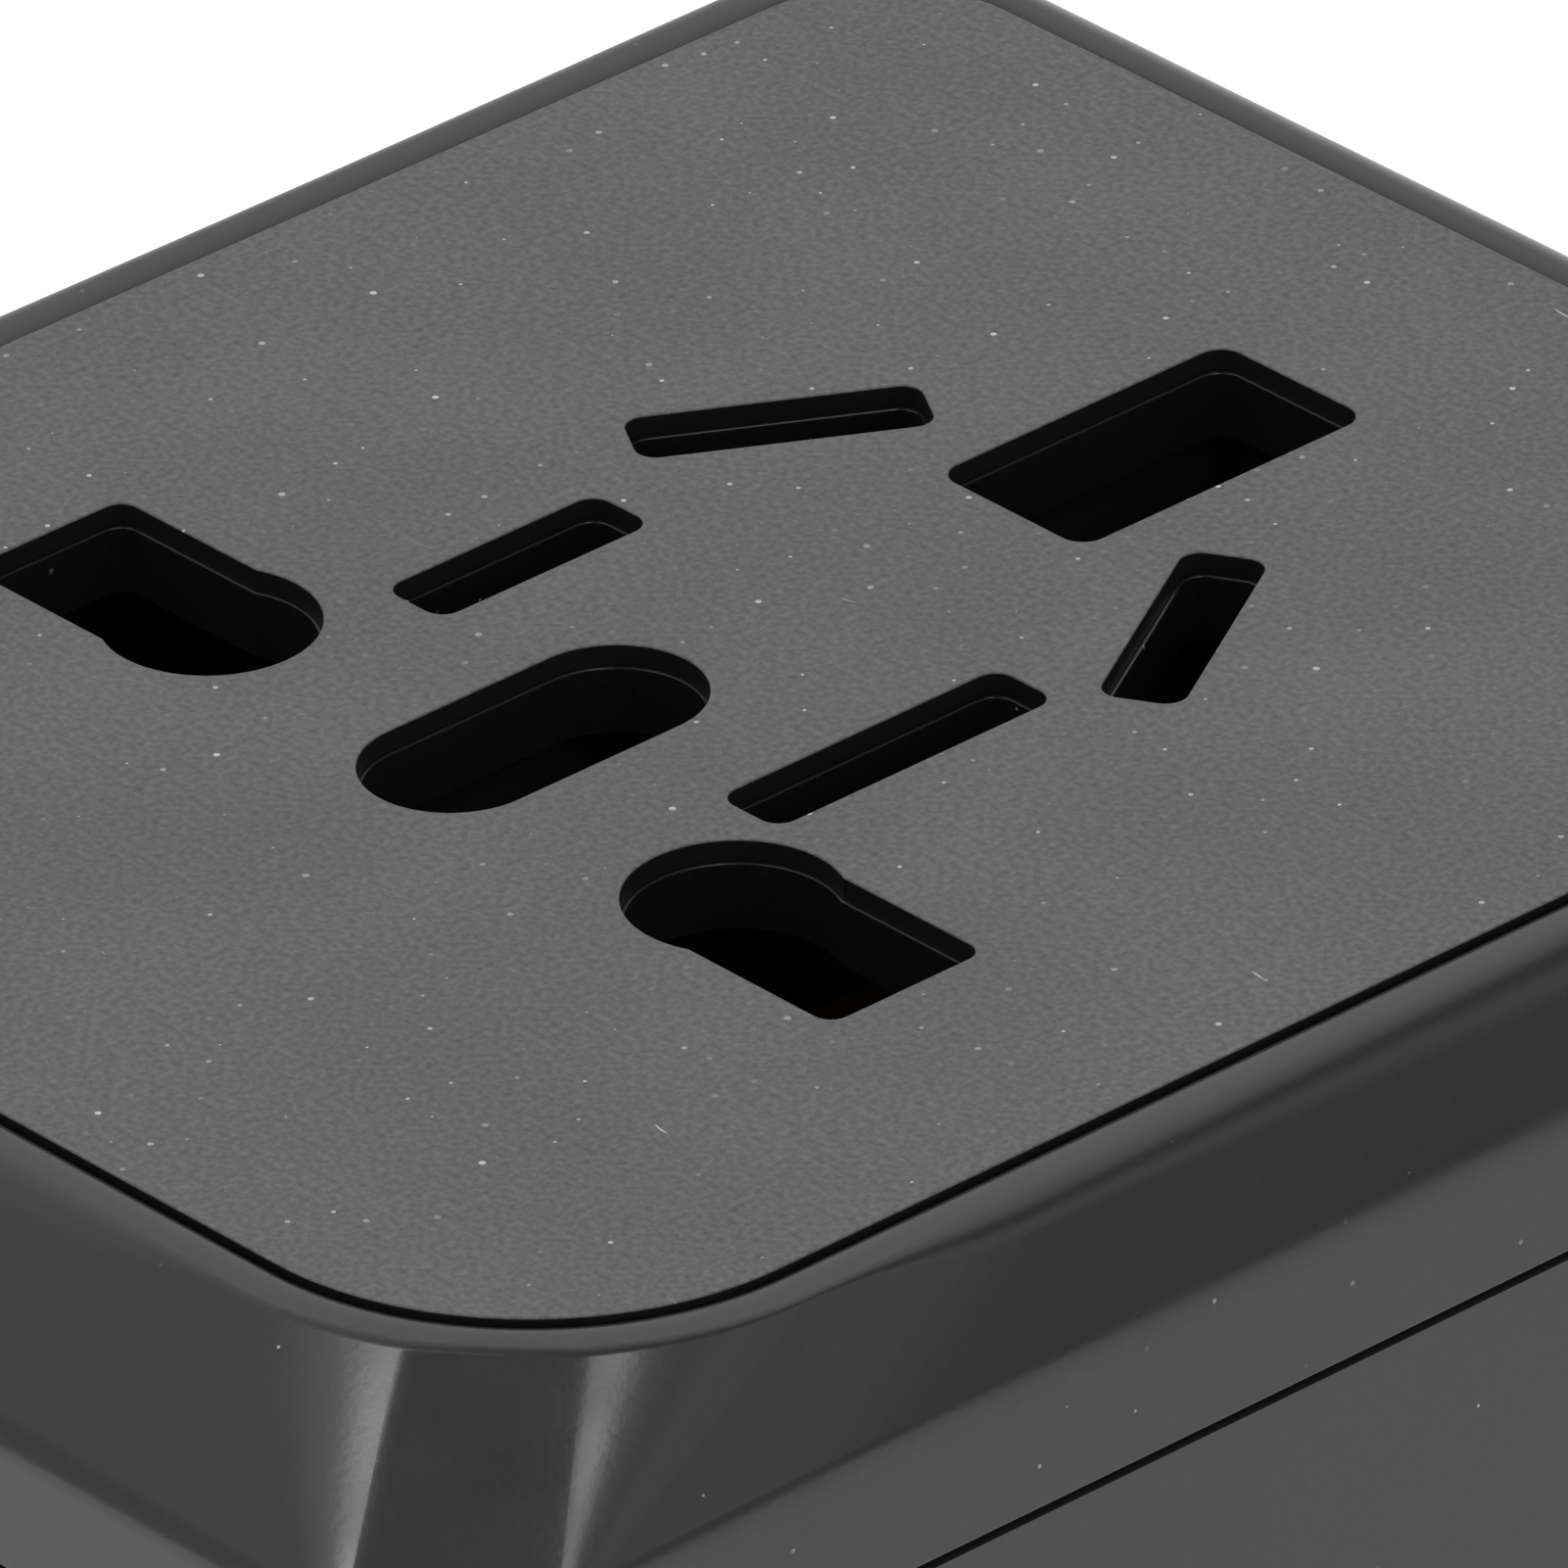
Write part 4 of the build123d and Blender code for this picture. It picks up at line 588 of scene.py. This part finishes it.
# Its deck is pierced a little smaller than the panel, four posts below it take the block's screws,
# and a snap bead stands on the middle of each side of the lip.
deck_corners = (far_corner - short, near_corner - short)
deck_outline = rounded_rectangle(face_middle, face_size - 2 * short, deck_corners, 0, 41)
shell_parts.append(plate("deck", deck_outline, socket_cuts(-0.1e-3), deck_bottom, deck_top, 0.05e-3))
post_places = [(x, y) for x in (-12e-3, 12e-3) for y in (-17e-3, 24.5e-3)]
post_radius, post_bore, post_height = 2.4e-3, 1.25e-3, 6e-3
for centre in post_places:
    ring = arc(centre, post_radius, 0, 360, 49)[:-1]
    bore = arc(centre, post_bore, 0, 360, 33)[:-1]
    shell_parts.append(plate("post", ring, [bore], deck_bottom - post_height, deck_bottom, 0.02e-3))
bead_width, bead_length, bead_half = 0.6e-3, 10e-3, 0.4e-3
for turn, outward in enumerate(((1, 0), (0, 1), (-1, 0), (0, -1))):
    span = (bead_width, bead_length) if turn % 2 == 0 else (bead_length, bead_width)
    middle = np.array(outward) * (body_half[turn % 2] - lip_inset)
    bead = rounded_rectangle(middle, span, 0.25e-3)
    shell_parts.append(plate("snap bead", bead, [], snap_z - bead_half, snap_z + bead_half, 0.1e-3))
whole = bmesh.new()
for part in shell_parts:
    whole.from_mesh(part)
shell_mesh = bpy.data.meshes.new("moulded_shell")
whole.to_mesh(shell_mesh)
whole.free()
soften(shell_mesh, 8)

# Satin ABS: smooth enough to show the soft boxes as blurred streaks, with a faint unevenness in
# its gloss, the fine pores of the tool at 0.2 mm, and a speck of dust here and there. Inside the
# panel's recess and cut-outs its colour is painted near black: painted shade.
def under(tree, place, half, radius, height):
    """1 inside a rounded rectangle about the middle and below a height, else 0."""
    size = add(tree, "ShaderNodeVectorMath", {0: place}, operation="ABSOLUTE").outputs[0]
    inner = (float(half[0]) - radius, float(half[1]) - radius, 1.0)
    over = add(tree, "ShaderNodeVectorMath", {0: size, 1: inner}, operation="SUBTRACT").outputs[0]
    kept = add(tree, "ShaderNodeVectorMath", {0: over, 1: (0, 0, 0)}, operation="MAXIMUM").outputs[0]
    far = add(tree, "ShaderNodeVectorMath", {0: kept}, operation="LENGTH").outputs["Value"]
    near = add(tree, "ShaderNodeMath", {0: far, 1: radius}, operation="LESS_THAN").outputs[0]
    rise = add(tree, "ShaderNodeSeparateXYZ", {0: place}).outputs["Z"]
    low = add(tree, "ShaderNodeMath", {0: rise, 1: float(height)}, operation="LESS_THAN").outputs[0]
    return add(tree, "ShaderNodeMath", {0: near, 1: low}, operation="MULTIPLY").outputs[0]


shell_abs, tree, place = new_material("satin black ABS")
pores = add(tree, "ShaderNodeTexNoise", {"Vector": place, "Scale": 1 / 0.2e-3, "Detail": 2.0})
waves = add(tree, "ShaderNodeTexNoise", {"Vector": place, "Scale": 1 / 2.5e-3, "Detail": 1.0})
gloss = add(
    tree,
    "ShaderNodeMapRange",
    {"Value": waves.outputs["Fac"], "From Min": 0.3, "From Max": 0.7, "To Min": 0.18, "To Max": 0.23},
)
mottled = add(
    tree,
    "ShaderNodeMix",
    {"Factor": pores.outputs["Fac"], "A": linear("#343435"), "B": linear("#3e3e3f")},
    data_type="RGBA",
)
specks = dust(tree, place, 1.1e-3, 0.5, 0.08e-3)
dusty = add(
    tree,
    "ShaderNodeMix",
    {"Factor": specks, "A": mottled.outputs["Result"], "B": linear("#d0d0ce")},
    data_type="RGBA",
)
# Painted shade: inside the panel's recess and below the rim's top the colour is painted near black,
# with a few pale crumbs of dust.
shaded_recess = under(tree, place, face_size / 2 + panel_gap + 0.2e-3, near_corner, top - 0.1e-3)
crumbs = dust(tree, place, 0.7e-3, 0.3, 0.08e-3)
dark = add(
    tree, "ShaderNodeMath", {0: pores.outputs["Fac"], 1: 0.02, 2: crumbs}, operation="MULTIPLY_ADD"
)
unlit = add(
    tree,
    "ShaderNodeMix",
    {"Factor": dark.outputs[0], "A": linear("#171717"), "B": linear("#c8c8c6")},
    data_type="RGBA",
)
coloured = add(
    tree,
    "ShaderNodeMix",
    {"Factor": shaded_recess, "A": dusty.outputs["Result"], "B": unlit.outputs["Result"]},
    data_type="RGBA",
)
colour, roughness = coloured.outputs["Result"], gloss.outputs["Result"]
finish(tree, colour, roughness, pores.outputs["Fac"], 0.008e-3, 0.35, {"IOR": 1.5})
even_shading(put("moulded_shell", shell_mesh, shell_abs, "top_shell"))


# Main housing: a deep sleeve of the same satin ABS, below the seam, with the sliders' tracks and
# slots, the vents and the switch opening cut in its walls by the tool's side cores.
flat_turn = math.radians(0.4)


def softened(node, material):
    """A node's own shape in place of its loose triangles: welded, its flats joined, shaded smooth."""
    mesh = nodes[node].data.copy()
    whole = bmesh.new()
    whole.from_mesh(mesh)
    bmesh.ops.remove_doubles(whole, verts=whole.verts, dist=weld_reach)
    parts = {"verts": whole.verts, "edges": whole.edges}
    bmesh.ops.dissolve_limit(whole, angle_limit=flat_turn, use_dissolve_boundaries=False, **parts)
    whole.to_mesh(mesh)
    whole.free()
    even_shading(put(f"{node}_finished", soften(mesh), material, node))


softened("main_housing", shell_abs)


# Base cover: a flat ABS moulding that closes the plug face round the pins. Its tool is spark
# eroded like the socket panel's, only finer, and four screws hold it from below.
def moulded(name, dark, light, roughness, grain, depth):
    """A moulded plastic: two tones mixed by the tool's grain and by broad flow marks, grain as bump."""
    made, tree, place = new_material(name)
    fine = add(tree, "ShaderNodeTexNoise", {"Vector": place, "Scale": 1 / grain, "Detail": 2.0})
    broad = add(tree, "ShaderNodeTexNoise", {"Vector": place, "Scale": 1 / 5e-3, "Detail": 2.0})
    both = add(
        tree, "ShaderNodeMath", {0: fine.outputs["Fac"], 1: broad.outputs["Fac"]}, operation="ADD"
    )
    shades = {"Value": both.outputs[0], "From Min": 0.7, "From Max": 1.3}
    level = add(tree, "ShaderNodeMapRange", shades).outputs["Result"]
    tone = add(
        tree,
        "ShaderNodeMix",
        {"Factor": level, "A": linear(dark), "B": linear(light)},
        data_type="RGBA",
    )
    gloss = add(
        tree,
        "ShaderNodeMapRange",
        {
            "Value": broad.outputs["Fac"],
            "From Min": 0.3,
            "From Max": 0.7,
            "To Min": roughness - 0.04,
            "To Max": roughness + 0.04,
        },
    )
    colour, relief = tone.outputs["Result"], fine.outputs["Fac"]
    finish(tree, colour, gloss.outputs["Result"], relief, depth, 0.6, {"IOR": 1.5})
    return made


base_abs = moulded("finely eroded black ABS", "#353536", "#414142", 0.42, 0.3e-3, 0.02e-3)
softened("base_cover", base_abs)


# Slider knobs and switch knob: small grips in glossy black ABS, ribbed for the thumb, clipped on
# after the housing is closed. Gloss from a polished tool, dulled a little by handling.
knob_abs = moulded("glossy black ABS", "#232324", "#313132", 0.24, 0.8e-3, 0.006e-3)
for node in ("uk_knob", "eu_knob", "us_knob", "switch_knob"):
    softened(node, knob_abs)


# Pin carriages and middle plate: unpigmented nylon, waxy and cream white, moulded in plain tools.
# It shows faint cloudy flow marks and a fine matt skin.
nylon = moulded("natural nylon", "#d2d0c6", "#e0dfd9", 0.46, 0.4e-3, 0.01e-3)
for node in ("uk_carriage", "eu_carriage", "us_carriage", "middle_plate"):
    softened(node, nylon)


# Plug pins and blades: brass with a thin nickel flash, the pins turned and the blades stamped.
# Fine lines run along them from drawing, and they stay warm in tone where the plating is thin.
def worked(name, dark, light, roughness, marks, depth=0.004e-3):
    """A metal with two tones and bump from noise whose cells are marks long along X, Y and Z."""
    made, tree, place = new_material(name)
    scaled = add(
        tree, "ShaderNodeMapping", {"Vector": place, "Scale": tuple(1 / length for length in marks)}
    )
    lines = add(tree, "ShaderNodeTexNoise", {"Vector": scaled.outputs[0], "Scale": 1.0, "Detail": 3.0})
    clouds = add(tree, "ShaderNodeTexNoise", {"Vector": place, "Scale": 1 / 3e-3, "Detail": 2.0})
    both = add(
        tree, "ShaderNodeMath", {0: lines.outputs["Fac"], 1: clouds.outputs["Fac"]}, operation="ADD"
    )
    shades = {"Value": both.outputs[0], "From Min": 0.7, "From Max": 1.3}
    level = add(tree, "ShaderNodeMapRange", shades).outputs["Result"]
    tone = add(
        tree,
        "ShaderNodeMix",
        {"Factor": level, "A": linear(dark), "B": linear(light)},
        data_type="RGBA",
    )
    gloss = add(
        tree,
        "ShaderNodeMapRange",
        {
            "Value": lines.outputs["Fac"],
            "From Min": 0.3,
            "From Max": 0.7,
            "To Min": roughness - 0.07,
            "To Max": roughness + 0.07,
        },
    )
    colour, relief = tone.outputs["Result"], lines.outputs["Fac"]
    finish(tree, colour, gloss.outputs["Result"], relief, depth, 0.5, {"Metallic": 1.0})
    return made


pin_metal = worked("nickel-flashed brass", "#bea76e", "#d3bd87", 0.25, (0.08e-3, 0.08e-3, 4e-3))
for node in ("uk_pins", "eu_pins", "blade_left", "blade_right"):
    softened(node, pin_metal)


# Insulating sleeves, plastic earth pin and blade hubs: matt black nylon, moulded round the pins
# so that a half-drawn plug has no live metal in reach.
sleeve_nylon = moulded("matt black nylon", "#171718", "#202021", 0.5, 0.35e-3, 0.015e-3)
insulated = ("uk_pin_sleeves", "eu_pin_sleeves", "uk_earth_pin")
for node in (*insulated, "blade_rotor_left", "blade_rotor_right"):
    softened(node, sleeve_nylon)


# Contact block: a black PBT carrier below the sockets, with a chamber for each contact. Its core
# pins leave it smooth but dull.
block_pbt = moulded("dull black PBT", "#0f0f10", "#161617", 0.7, 0.3e-3, 0.02e-3)
softened("contact_block", block_pbt)


# Contacts, bus strips and blade tabs: spring brass strip, blanked and bent, with rolling marks
# along the strip and the dull straw colour of metal that has lain in store.
contact_metal = worked("rolled spring brass", "#b6934f", "#d0ae69", 0.32, (0.06e-3, 0.06e-3, 3e-3))
for node in ("live_contact", "neutral_contact", "live_bus", "neutral_bus", "blade_tabs"):
    softened(node, contact_metal)


# Circuit board: glass-epoxy laminate under green solder mask. Copper pours show through the mask
# as paler fields, parted by 0.3 mm lines, with tinned pads and the weave of the glass at 0.5 mm.
board_mask, tree, place = new_material("green masked glass epoxy")
pour_width, half_line, pad_spacing, pad_radius = 4.5e-3, 0.15e-3, 3e-3, 0.55e-3
pours = add(
    tree,
    "ShaderNodeTexVoronoi",
    {"Vector": place, "Scale": 1 / pour_width, "Randomness": 0.8},
    feature="DISTANCE_TO_EDGE",
    voronoi_dimensions="2D",
)
copper = add(
    tree,
    "ShaderNodeMath",
    {0: pours.outputs["Distance"], 1: half_line / pour_width},
    operation="GREATER_THAN",
)
mask = add(
    tree,
    "ShaderNodeMix",
    {"Factor": copper.outputs[0], "A": linear("#234a2f"), "B": linear("#33603f")},
    data_type="RGBA",
)
dots = add(
    tree,
    "ShaderNodeTexVoronoi",
    {"Vector": place, "Scale": 1 / pad_spacing, "Randomness": 0.7},
    voronoi_dimensions="2D",
)
pads = add(
    tree,
    "ShaderNodeMath",
    {0: dots.outputs["Distance"], 1: pad_radius / pad_spacing},
    operation="LESS_THAN",
)
coloured = add(
    tree,
    "ShaderNodeMix",
    {"Factor": pads.outputs[0], "A": mask.outputs["Result"], "B": linear("#b9bcbf")},
    data_type="RGBA",
)
weave = add(tree, "ShaderNodeTexChecker", {"Vector": place, "Scale": 1 / 0.5e-3}).outputs["Fac"]
raised = add(
    tree, "ShaderNodeMath", {0: weave, 1: 0.15, 2: copper.outputs[0]}, operation="MULTIPLY_ADD"
)
gloss = add(tree, "ShaderNodeMapRange", {"Value": pads.outputs[0], "To Min": 0.28, "To Max": 0.38})
colour, roughness = coloured.outputs["Result"], gloss.outputs["Result"]
finish(tree, colour, roughness, raised.outputs[0], 0.03e-3, 0.5, {"Metallic": pads.outputs[0]})
softened("converter_board", board_mask)


# Transformer core: 0.5 mm silicon-steel laminations stacked flat, their cut edges blued and
# dipped in a thin dark varnish, so that the sides show fine dark lines.
def banded(name, dark, light, roughness, metallic, pitch, axis, depth):
    """
    A finish with fine parallel lines: tones and bump from a sine along one axis, and soft clouds.
    The wave repeats every pi / 10 at a scale of 1.
    """
    made, tree, place = new_material(name)
    bands = add(
        tree,
        "ShaderNodeTexWave",
        {"Vector": place, "Scale": math.pi / 10 / pitch, "Distortion": 0.4, "Detail": 1.0},
        bands_direction=axis,
    )
    clouds = add(tree, "ShaderNodeTexNoise", {"Vector": place, "Scale": 1 / 2.5e-3, "Detail": 2.0})
    both = {0: bands.outputs["Fac"], 1: clouds.outputs["Fac"]}
    level = add(tree, "ShaderNodeMath", both, operation="MULTIPLY")
    tone = add(
        tree,
        "ShaderNodeMix",
        {"Factor": level.outputs[0], "A": linear(dark), "B": linear(light)},
        data_type="RGBA",
    )
    colour, relief = tone.outputs["Result"], bands.outputs["Fac"]
    finish(tree, colour, roughness, relief, depth, 0.6, {"Metallic": metallic})
    return made


core_steel = banded("varnished core laminations", "#3a3b3f", "#7b7c82", 0.42, 0.8, 0.5e-3, "Z", 0.04e-3)
softened("transformer_core", core_steel)


# Bobbin and winding: a cream nylon former, wound with enamelled wire and closed with amber
# polyester tape, through which the 0.35 mm turns show as fine ridges.
bobbin_nylon = moulded("cream glass-filled nylon", "#ddd9ca", "#efebde", 0.48, 0.35e-3, 0.015e-3)
softened("transformer_bobbin", bobbin_nylon)
winding_tape = banded("amber polyester tape", "#b48d1c", "#dcb73c", 0.22, 0.0, 0.35e-3, "Y", 0.03e-3)
softened("transformer_winding", winding_tape)


# Smoothing capacitor: an aluminium can in a shrunk dark blue PVC sleeve, with a plain pale band
# down one side for its negative lead and the bare metal showing on top.
can_x, can_y, can_top, band_start, bare_radius = 11e-3, 12e-3, 46.4e-3, 3.4e-3, 3.2e-3
sleeved, tree, place = new_material("shrunk blue PVC sleeve")
centred = add(tree, "ShaderNodeMapping", {"Vector": place, "Location": (-can_x, -can_y, 0)})
parts = add(tree, "ShaderNodeSeparateXYZ", {0: centred.outputs[0]}).outputs
band = add(tree, "ShaderNodeMath", {0: parts["X"], 1: band_start}, operation="GREATER_THAN")
level_place = add(
    tree, "ShaderNodeVectorMath", {0: centred.outputs[0], 1: (1, 1, 0)}, operation="MULTIPLY"
)
radius = add(tree, "ShaderNodeVectorMath", {0: level_place.outputs[0]}, operation="LENGTH")
middle = add(
    tree, "ShaderNodeMath", {0: radius.outputs["Value"], 1: bare_radius}, operation="LESS_THAN"
)
high = add(tree, "ShaderNodeMath", {0: parts["Z"], 1: can_top - 0.3e-3}, operation="GREATER_THAN")
bare = add(tree, "ShaderNodeMath", {0: middle.outputs[0], 1: high.outputs[0]}, operation="MULTIPLY")
wrinkles = add(tree, "ShaderNodeTexNoise", {"Vector": place, "Scale": 1 / 1.2e-3, "Detail": 2.0})
sleeve = add(
    tree,
    "ShaderNodeMix",
    {"Factor": wrinkles.outputs["Fac"], "A": linear("#1a2540"), "B": linear("#24304b")},
    data_type="RGBA",
)
striped = add(
    tree,
    "ShaderNodeMix",
    {"Factor": band.outputs[0], "A": sleeve.outputs["Result"], "B": linear("#b9c0cc")},
    data_type="RGBA",
)
coloured = add(
    tree,
    "ShaderNodeMix",
    {"Factor": bare.outputs[0], "A": striped.outputs["Result"], "B": linear("#c3c5c7")},
    data_type="RGBA",
)
colour, relief = coloured.outputs["Result"], wrinkles.outputs["Fac"]
finish(tree, colour, 0.26, relief, 0.03e-3, 0.4, {"Metallic": bare.outputs[0]})
softened("smoothing_capacitor", sleeved)


# Film capacitor: wound film dipped in brick-red epoxy powder, which melts to a glossy skin with
# a soft orange-peel ripple about 0.7 mm across.
film_epoxy = moulded("brick-red dipped epoxy", "#ad4029", "#c55237", 0.2, 0.7e-3, 0.05e-3)
softened("suppression_capacitor", film_epoxy)


# Heat sink: extruded aluminium, left bare, with the die's lines running up its fins.
sink_metal = worked("extruded aluminium", "#b4b6b9", "#cecfd1", 0.34, (0.1e-3, 0.1e-3, 8e-3), 0.01e-3)
softened("heat_sink", sink_metal)


# Triac: a chip moulded in dull black epoxy, standing on three tinned legs.
def legged(name, dark, light, roughness, height):
    """A moulded case above a height and bright tinned wire below it, from the coordinates."""
    made, tree, place = new_material(name)
    grain = add(tree, "ShaderNodeTexNoise", {"Vector": place, "Scale": 1 / 0.3e-3, "Detail": 2.0})
    tone = add(
        tree,
        "ShaderNodeMix",
        {"Factor": grain.outputs["Fac"], "A": linear(dark), "B": linear(light)},
        data_type="RGBA",
    )
    rise = add(tree, "ShaderNodeSeparateXYZ", {0: place})
    leg = add(tree, "ShaderNodeMath", {0: rise.outputs["Z"], 1: height}, operation="LESS_THAN")
    coloured = add(
        tree,
        "ShaderNodeMix",
        {"Factor": leg.outputs[0], "A": tone.outputs["Result"], "B": linear("#c6c8ca")},
        data_type="RGBA",
    )
    gloss = add(
        tree, "ShaderNodeMapRange", {"Value": leg.outputs[0], "To Min": roughness, "To Max": 0.3}
    )
    colour, relief = coloured.outputs["Result"], grain.outputs["Fac"]
    finish(tree, colour, gloss.outputs["Result"], relief, 0.01e-3, 0.5, {"Metallic": leg.outputs[0]})
    return made


triac_case_z = 36.6e-3
triac_finish = legged("black epoxy and tinned legs", "#151516", "#1e1e1f", 0.5, triac_case_z)
softened("triac", triac_finish)


# Fuse: a glass tube closed by two tinned caps, with a thin wire that sags a little between them,
# pushed into two tinned spring clips on the board.
def rings(radius, height, angle):
    """Points at (radius times cosine, radius times sine, height) for each radius, height and angle."""
    return np.stack(np.broadcast_arrays(radius * np.cos(angle), radius * np.sin(angle), height), -1)


def turned(centre, profile, columns=40):
    """Rings about an axis along Y: one for each (distance along it, radius) pair of a profile."""
    steps, radii = np.array(profile).T[..., None]
    return rings(radii, steps, np.arange(columns) / columns * 2 * np.pi)[..., (1, 2, 0)] + centre


fuse_middle = (16.5e-3, 0, 39.2e-3)
tube_start, tube_end, tube_bore, tube_radius = -14.5e-3, -4.5e-3, 1.8e-3, 2.3e-3
tube = [(step, tube_bore) for step in (tube_start, tube_end)]
tube += [(step, tube_radius) for step in (tube_end, tube_start)]
tube_mesh = grid_mesh("fuse_tube", turned(fuse_middle, tube), True)

# Drawn soda glass: clear and nearly smooth, with faint lines 0.25 mm wide along the tube.
fuse_glass, tree, place = new_material("drawn soda glass")
line_width, line_length = 0.25e-3, 5e-3
line_scale = (1 / line_width, 1 / line_length, 1 / line_width)
drawn = add(tree, "ShaderNodeMapping", {"Vector": place, "Scale": line_scale})
cords = add(tree, "ShaderNodeTexNoise", {"Vector": drawn.outputs[0], "Scale": 1.0, "Detail": 1.0})
tint = add(
    tree,
    "ShaderNodeMix",
    {"Factor": cords.outputs["Fac"], "A": linear("#e3ebed"), "B": linear("#edf3f4")},
    data_type="RGBA",
)
clear = {"Transmission Weight": 1.0, "IOR": 1.5}
finish(tree, tint.outputs["Result"], 0.03, cords.outputs["Fac"], 0.004e-3, 0.3, clear)
put("fuse_tube", soften(tube_mesh), fuse_glass, "fuse_glass")

# Bright tin plate: pale and a little warm, with a mottle of 0.3 mm from the dip.
tinned = worked("bright tin plate", "#bdbdb9", "#d3d3cf", 0.28, (0.3e-3, 0.3e-3, 0.3e-3))
wire_start, wire_end, wire_radius, wire_sag = -14.4e-3, -4.6e-3, 0.09e-3, 0.25e-3
along = np.linspace(wire_start, wire_end, 41)
wire = [(wire_start, 0.0), *((step, wire_radius) for step in along), (wire_end, 0.0)]
wire_rows = turned(fuse_middle, wire, 12)[::-1]
share = (wire_rows[..., 1] - tube_start) / (tube_end - tube_start)
wire_rows[..., 2] -= wire_sag * np.sin(np.pi * share)
wire_mesh = soften(grid_mesh("fuse_wire", wire_rows, False))
put("fuse_wire", wire_mesh, tinned, None, "housing")
for node in ("fuse_caps", "fuse_clips"):
    softened(node, tinned)


# Switch body, indicator lens and lamp: a black slide switch, a clear polycarbonate window pressed
# into the wall, and behind it a red lamp on two tinned legs.
switch_pbt = moulded("dull switch PBT", "#1d1d1e", "#272728", 0.4, 0.3e-3, 0.012e-3)
softened("switch_body", switch_pbt)
lens_clear, tree, place = new_material("clear polycarbonate")
ripples = add(tree, "ShaderNodeTexNoise", {"Vector": place, "Scale": 1 / 0.9e-3, "Detail": 1.0})
tint = add(
    tree,
    "ShaderNodeMix",
    {"Factor": ripples.outputs["Fac"], "A": linear("#cfdccf"), "B": linear("#dfe6df")},
    data_type="RGBA",
)
clear = {"Transmission Weight": 0.85, "IOR": 1.58}
finish(tree, tint.outputs["Result"], 0.12, ripples.outputs["Fac"], 0.01e-3, 0.4, clear)
softened("lamp_lens", lens_clear)
lamp_bulb_z = 38e-3
lamp_finish = legged("red epoxy and tinned legs", "#a8302a", "#c23a31", 0.16, lamp_bulb_z)
softened("lamp", lamp_finish)


# Screws: hardened steel with a pressed cross recess and a rolled thread, zinc plated to a bright
# mottled grey. Pan heads inside hold the middle plate, the board and the contact block, and flat
# heads hold the base.
thread_pitch, thread_depth, row_step = 0.8e-3, 0.28e-3, 0.11e-3
thread_below, thread_above, fade_tip, fade_neck = 0.2e-3, 0.9e-3, 0.4e-3, 0.3e-3
cross_half, cross_reach, cross_depth = 0.42e-3, 1.35e-3, 0.75e-3
cross_side, cross_end = 0.1e-3, 0.45e-3


def screw(centre, head, length, shank, face_down):
    """
    Rows of rings from the head's middle to the point. The head follows (radius, height) pairs, less
    a recess that is deep where x or y is small. The shank's radius falls by a pointed wave of height
    over pitch plus turn.
    """
    angle = np.arange(64) / 64 * 2 * np.pi
    knots, heights = np.array(head).T
    radii = np.append(np.linspace(0, 1, 27)[:-1] ** 0.8, 1) * knots.max()
    x, y = radii[:, None] * np.cos(angle), radii[:, None] * np.sin(angle)
    arm, reach = np.minimum(np.abs(x), np.abs(y)), np.hypot(x, y)
    across = np.clip((cross_half - arm) / cross_side, 0, 1)
    recess = cross_depth * across * np.clip((cross_reach - reach) / cross_end, 0, 1)
    crown = rings(radii[:, None], np.interp(radii, knots, heights)[:, None] - recess, angle)
    stem, start = shank[-1]
    step = np.linspace(start - thread_below, thread_above - length, int(length / row_step))[:, None]
    tooth = np.abs(2 * ((step / thread_pitch + angle / (2 * np.pi)) % 1) - 1) ** 1.4
    fades = (step - step.min()) / fade_tip, (step.max() - step) / fade_neck
    ease = np.clip(fades[0], 0, 1) * np.clip(fades[1], 0, 1)
    turns = rings(stem - thread_depth * tooth * ease - 0.02e-3, step, angle)
    last = stem - 0.3e-3
    ends = [(last, -length + 0.7e-3), (last * 0.5, -length + 0.2e-3), (0.0, -length)]
    flanks, point = (rings(*np.array(pairs).T[..., None], angle) for pairs in (shank, ends))
    rows = np.concatenate((crown, flanks, turns, point))
    if face_down:
        rows = rows * (1, -1, -1)
    return grid_mesh("screw", rows + centre, False)


def at_corners(x, y):
    """Four places, mirrored in both middles."""
    return [(side * x, end * y) for side in (-1, 1) for end in (-1, 1)]


zinc = worked("zinc-plated steel", "#b1b3b5", "#c4c6c9", 0.3, (0.25e-3, 0.25e-3, 0.25e-3))

# Pairs of radius and height. The pan head is 1.4 mm high and domes down by 0.5 mm to its edge.
dome = [(r, 1.4e-3 - 0.5e-3 * (r / 2.25e-3) ** 2.2) for r in np.linspace(0, 2.25e-3, 12)]
pan = [*dome, (2.3e-3, 0.8e-3)]
pan_shank = [(2.3e-3, 0.0), (1.2e-3, 0.0), (1.2e-3, -0.1e-3)]
flat = [(0.0, 0.0), (2.15e-3, 0.0), (2.2e-3, -0.05e-3)]
flat_shank = [(1.2e-3, -1.165e-3), (1.2e-3, -1.3e-3)]
housing_bosses, board_posts = at_corners(20.12e-3, 27.14e-3), at_corners(18e-3, 22.5e-3)
for node, places, seat, length, head, shank, face_down in (
    ("plate_screws", housing_bosses, 31.8e-3, 9e-3, pan, pan_shank, False),
    ("board_screws", board_posts, 35.4e-3, 5e-3, pan, pan_shank, False),
    ("block_screws", post_places, 61.1e-3, 8.45e-3, pan, pan_shank, True),
    ("base_screws", housing_bosses, 0.1e-3, 8.9e-3, flat, flat_shank, True),
):
    whole = bmesh.new()
    for x, y in places:
        whole.from_mesh(screw(np.array((x, y, seat)), head, length, shank, face_down))
    made = bpy.data.meshes.new(node)
    whole.to_mesh(made)
    whole.free()
    put(f"{node}_threaded", soften(made, 40), zinc, node)
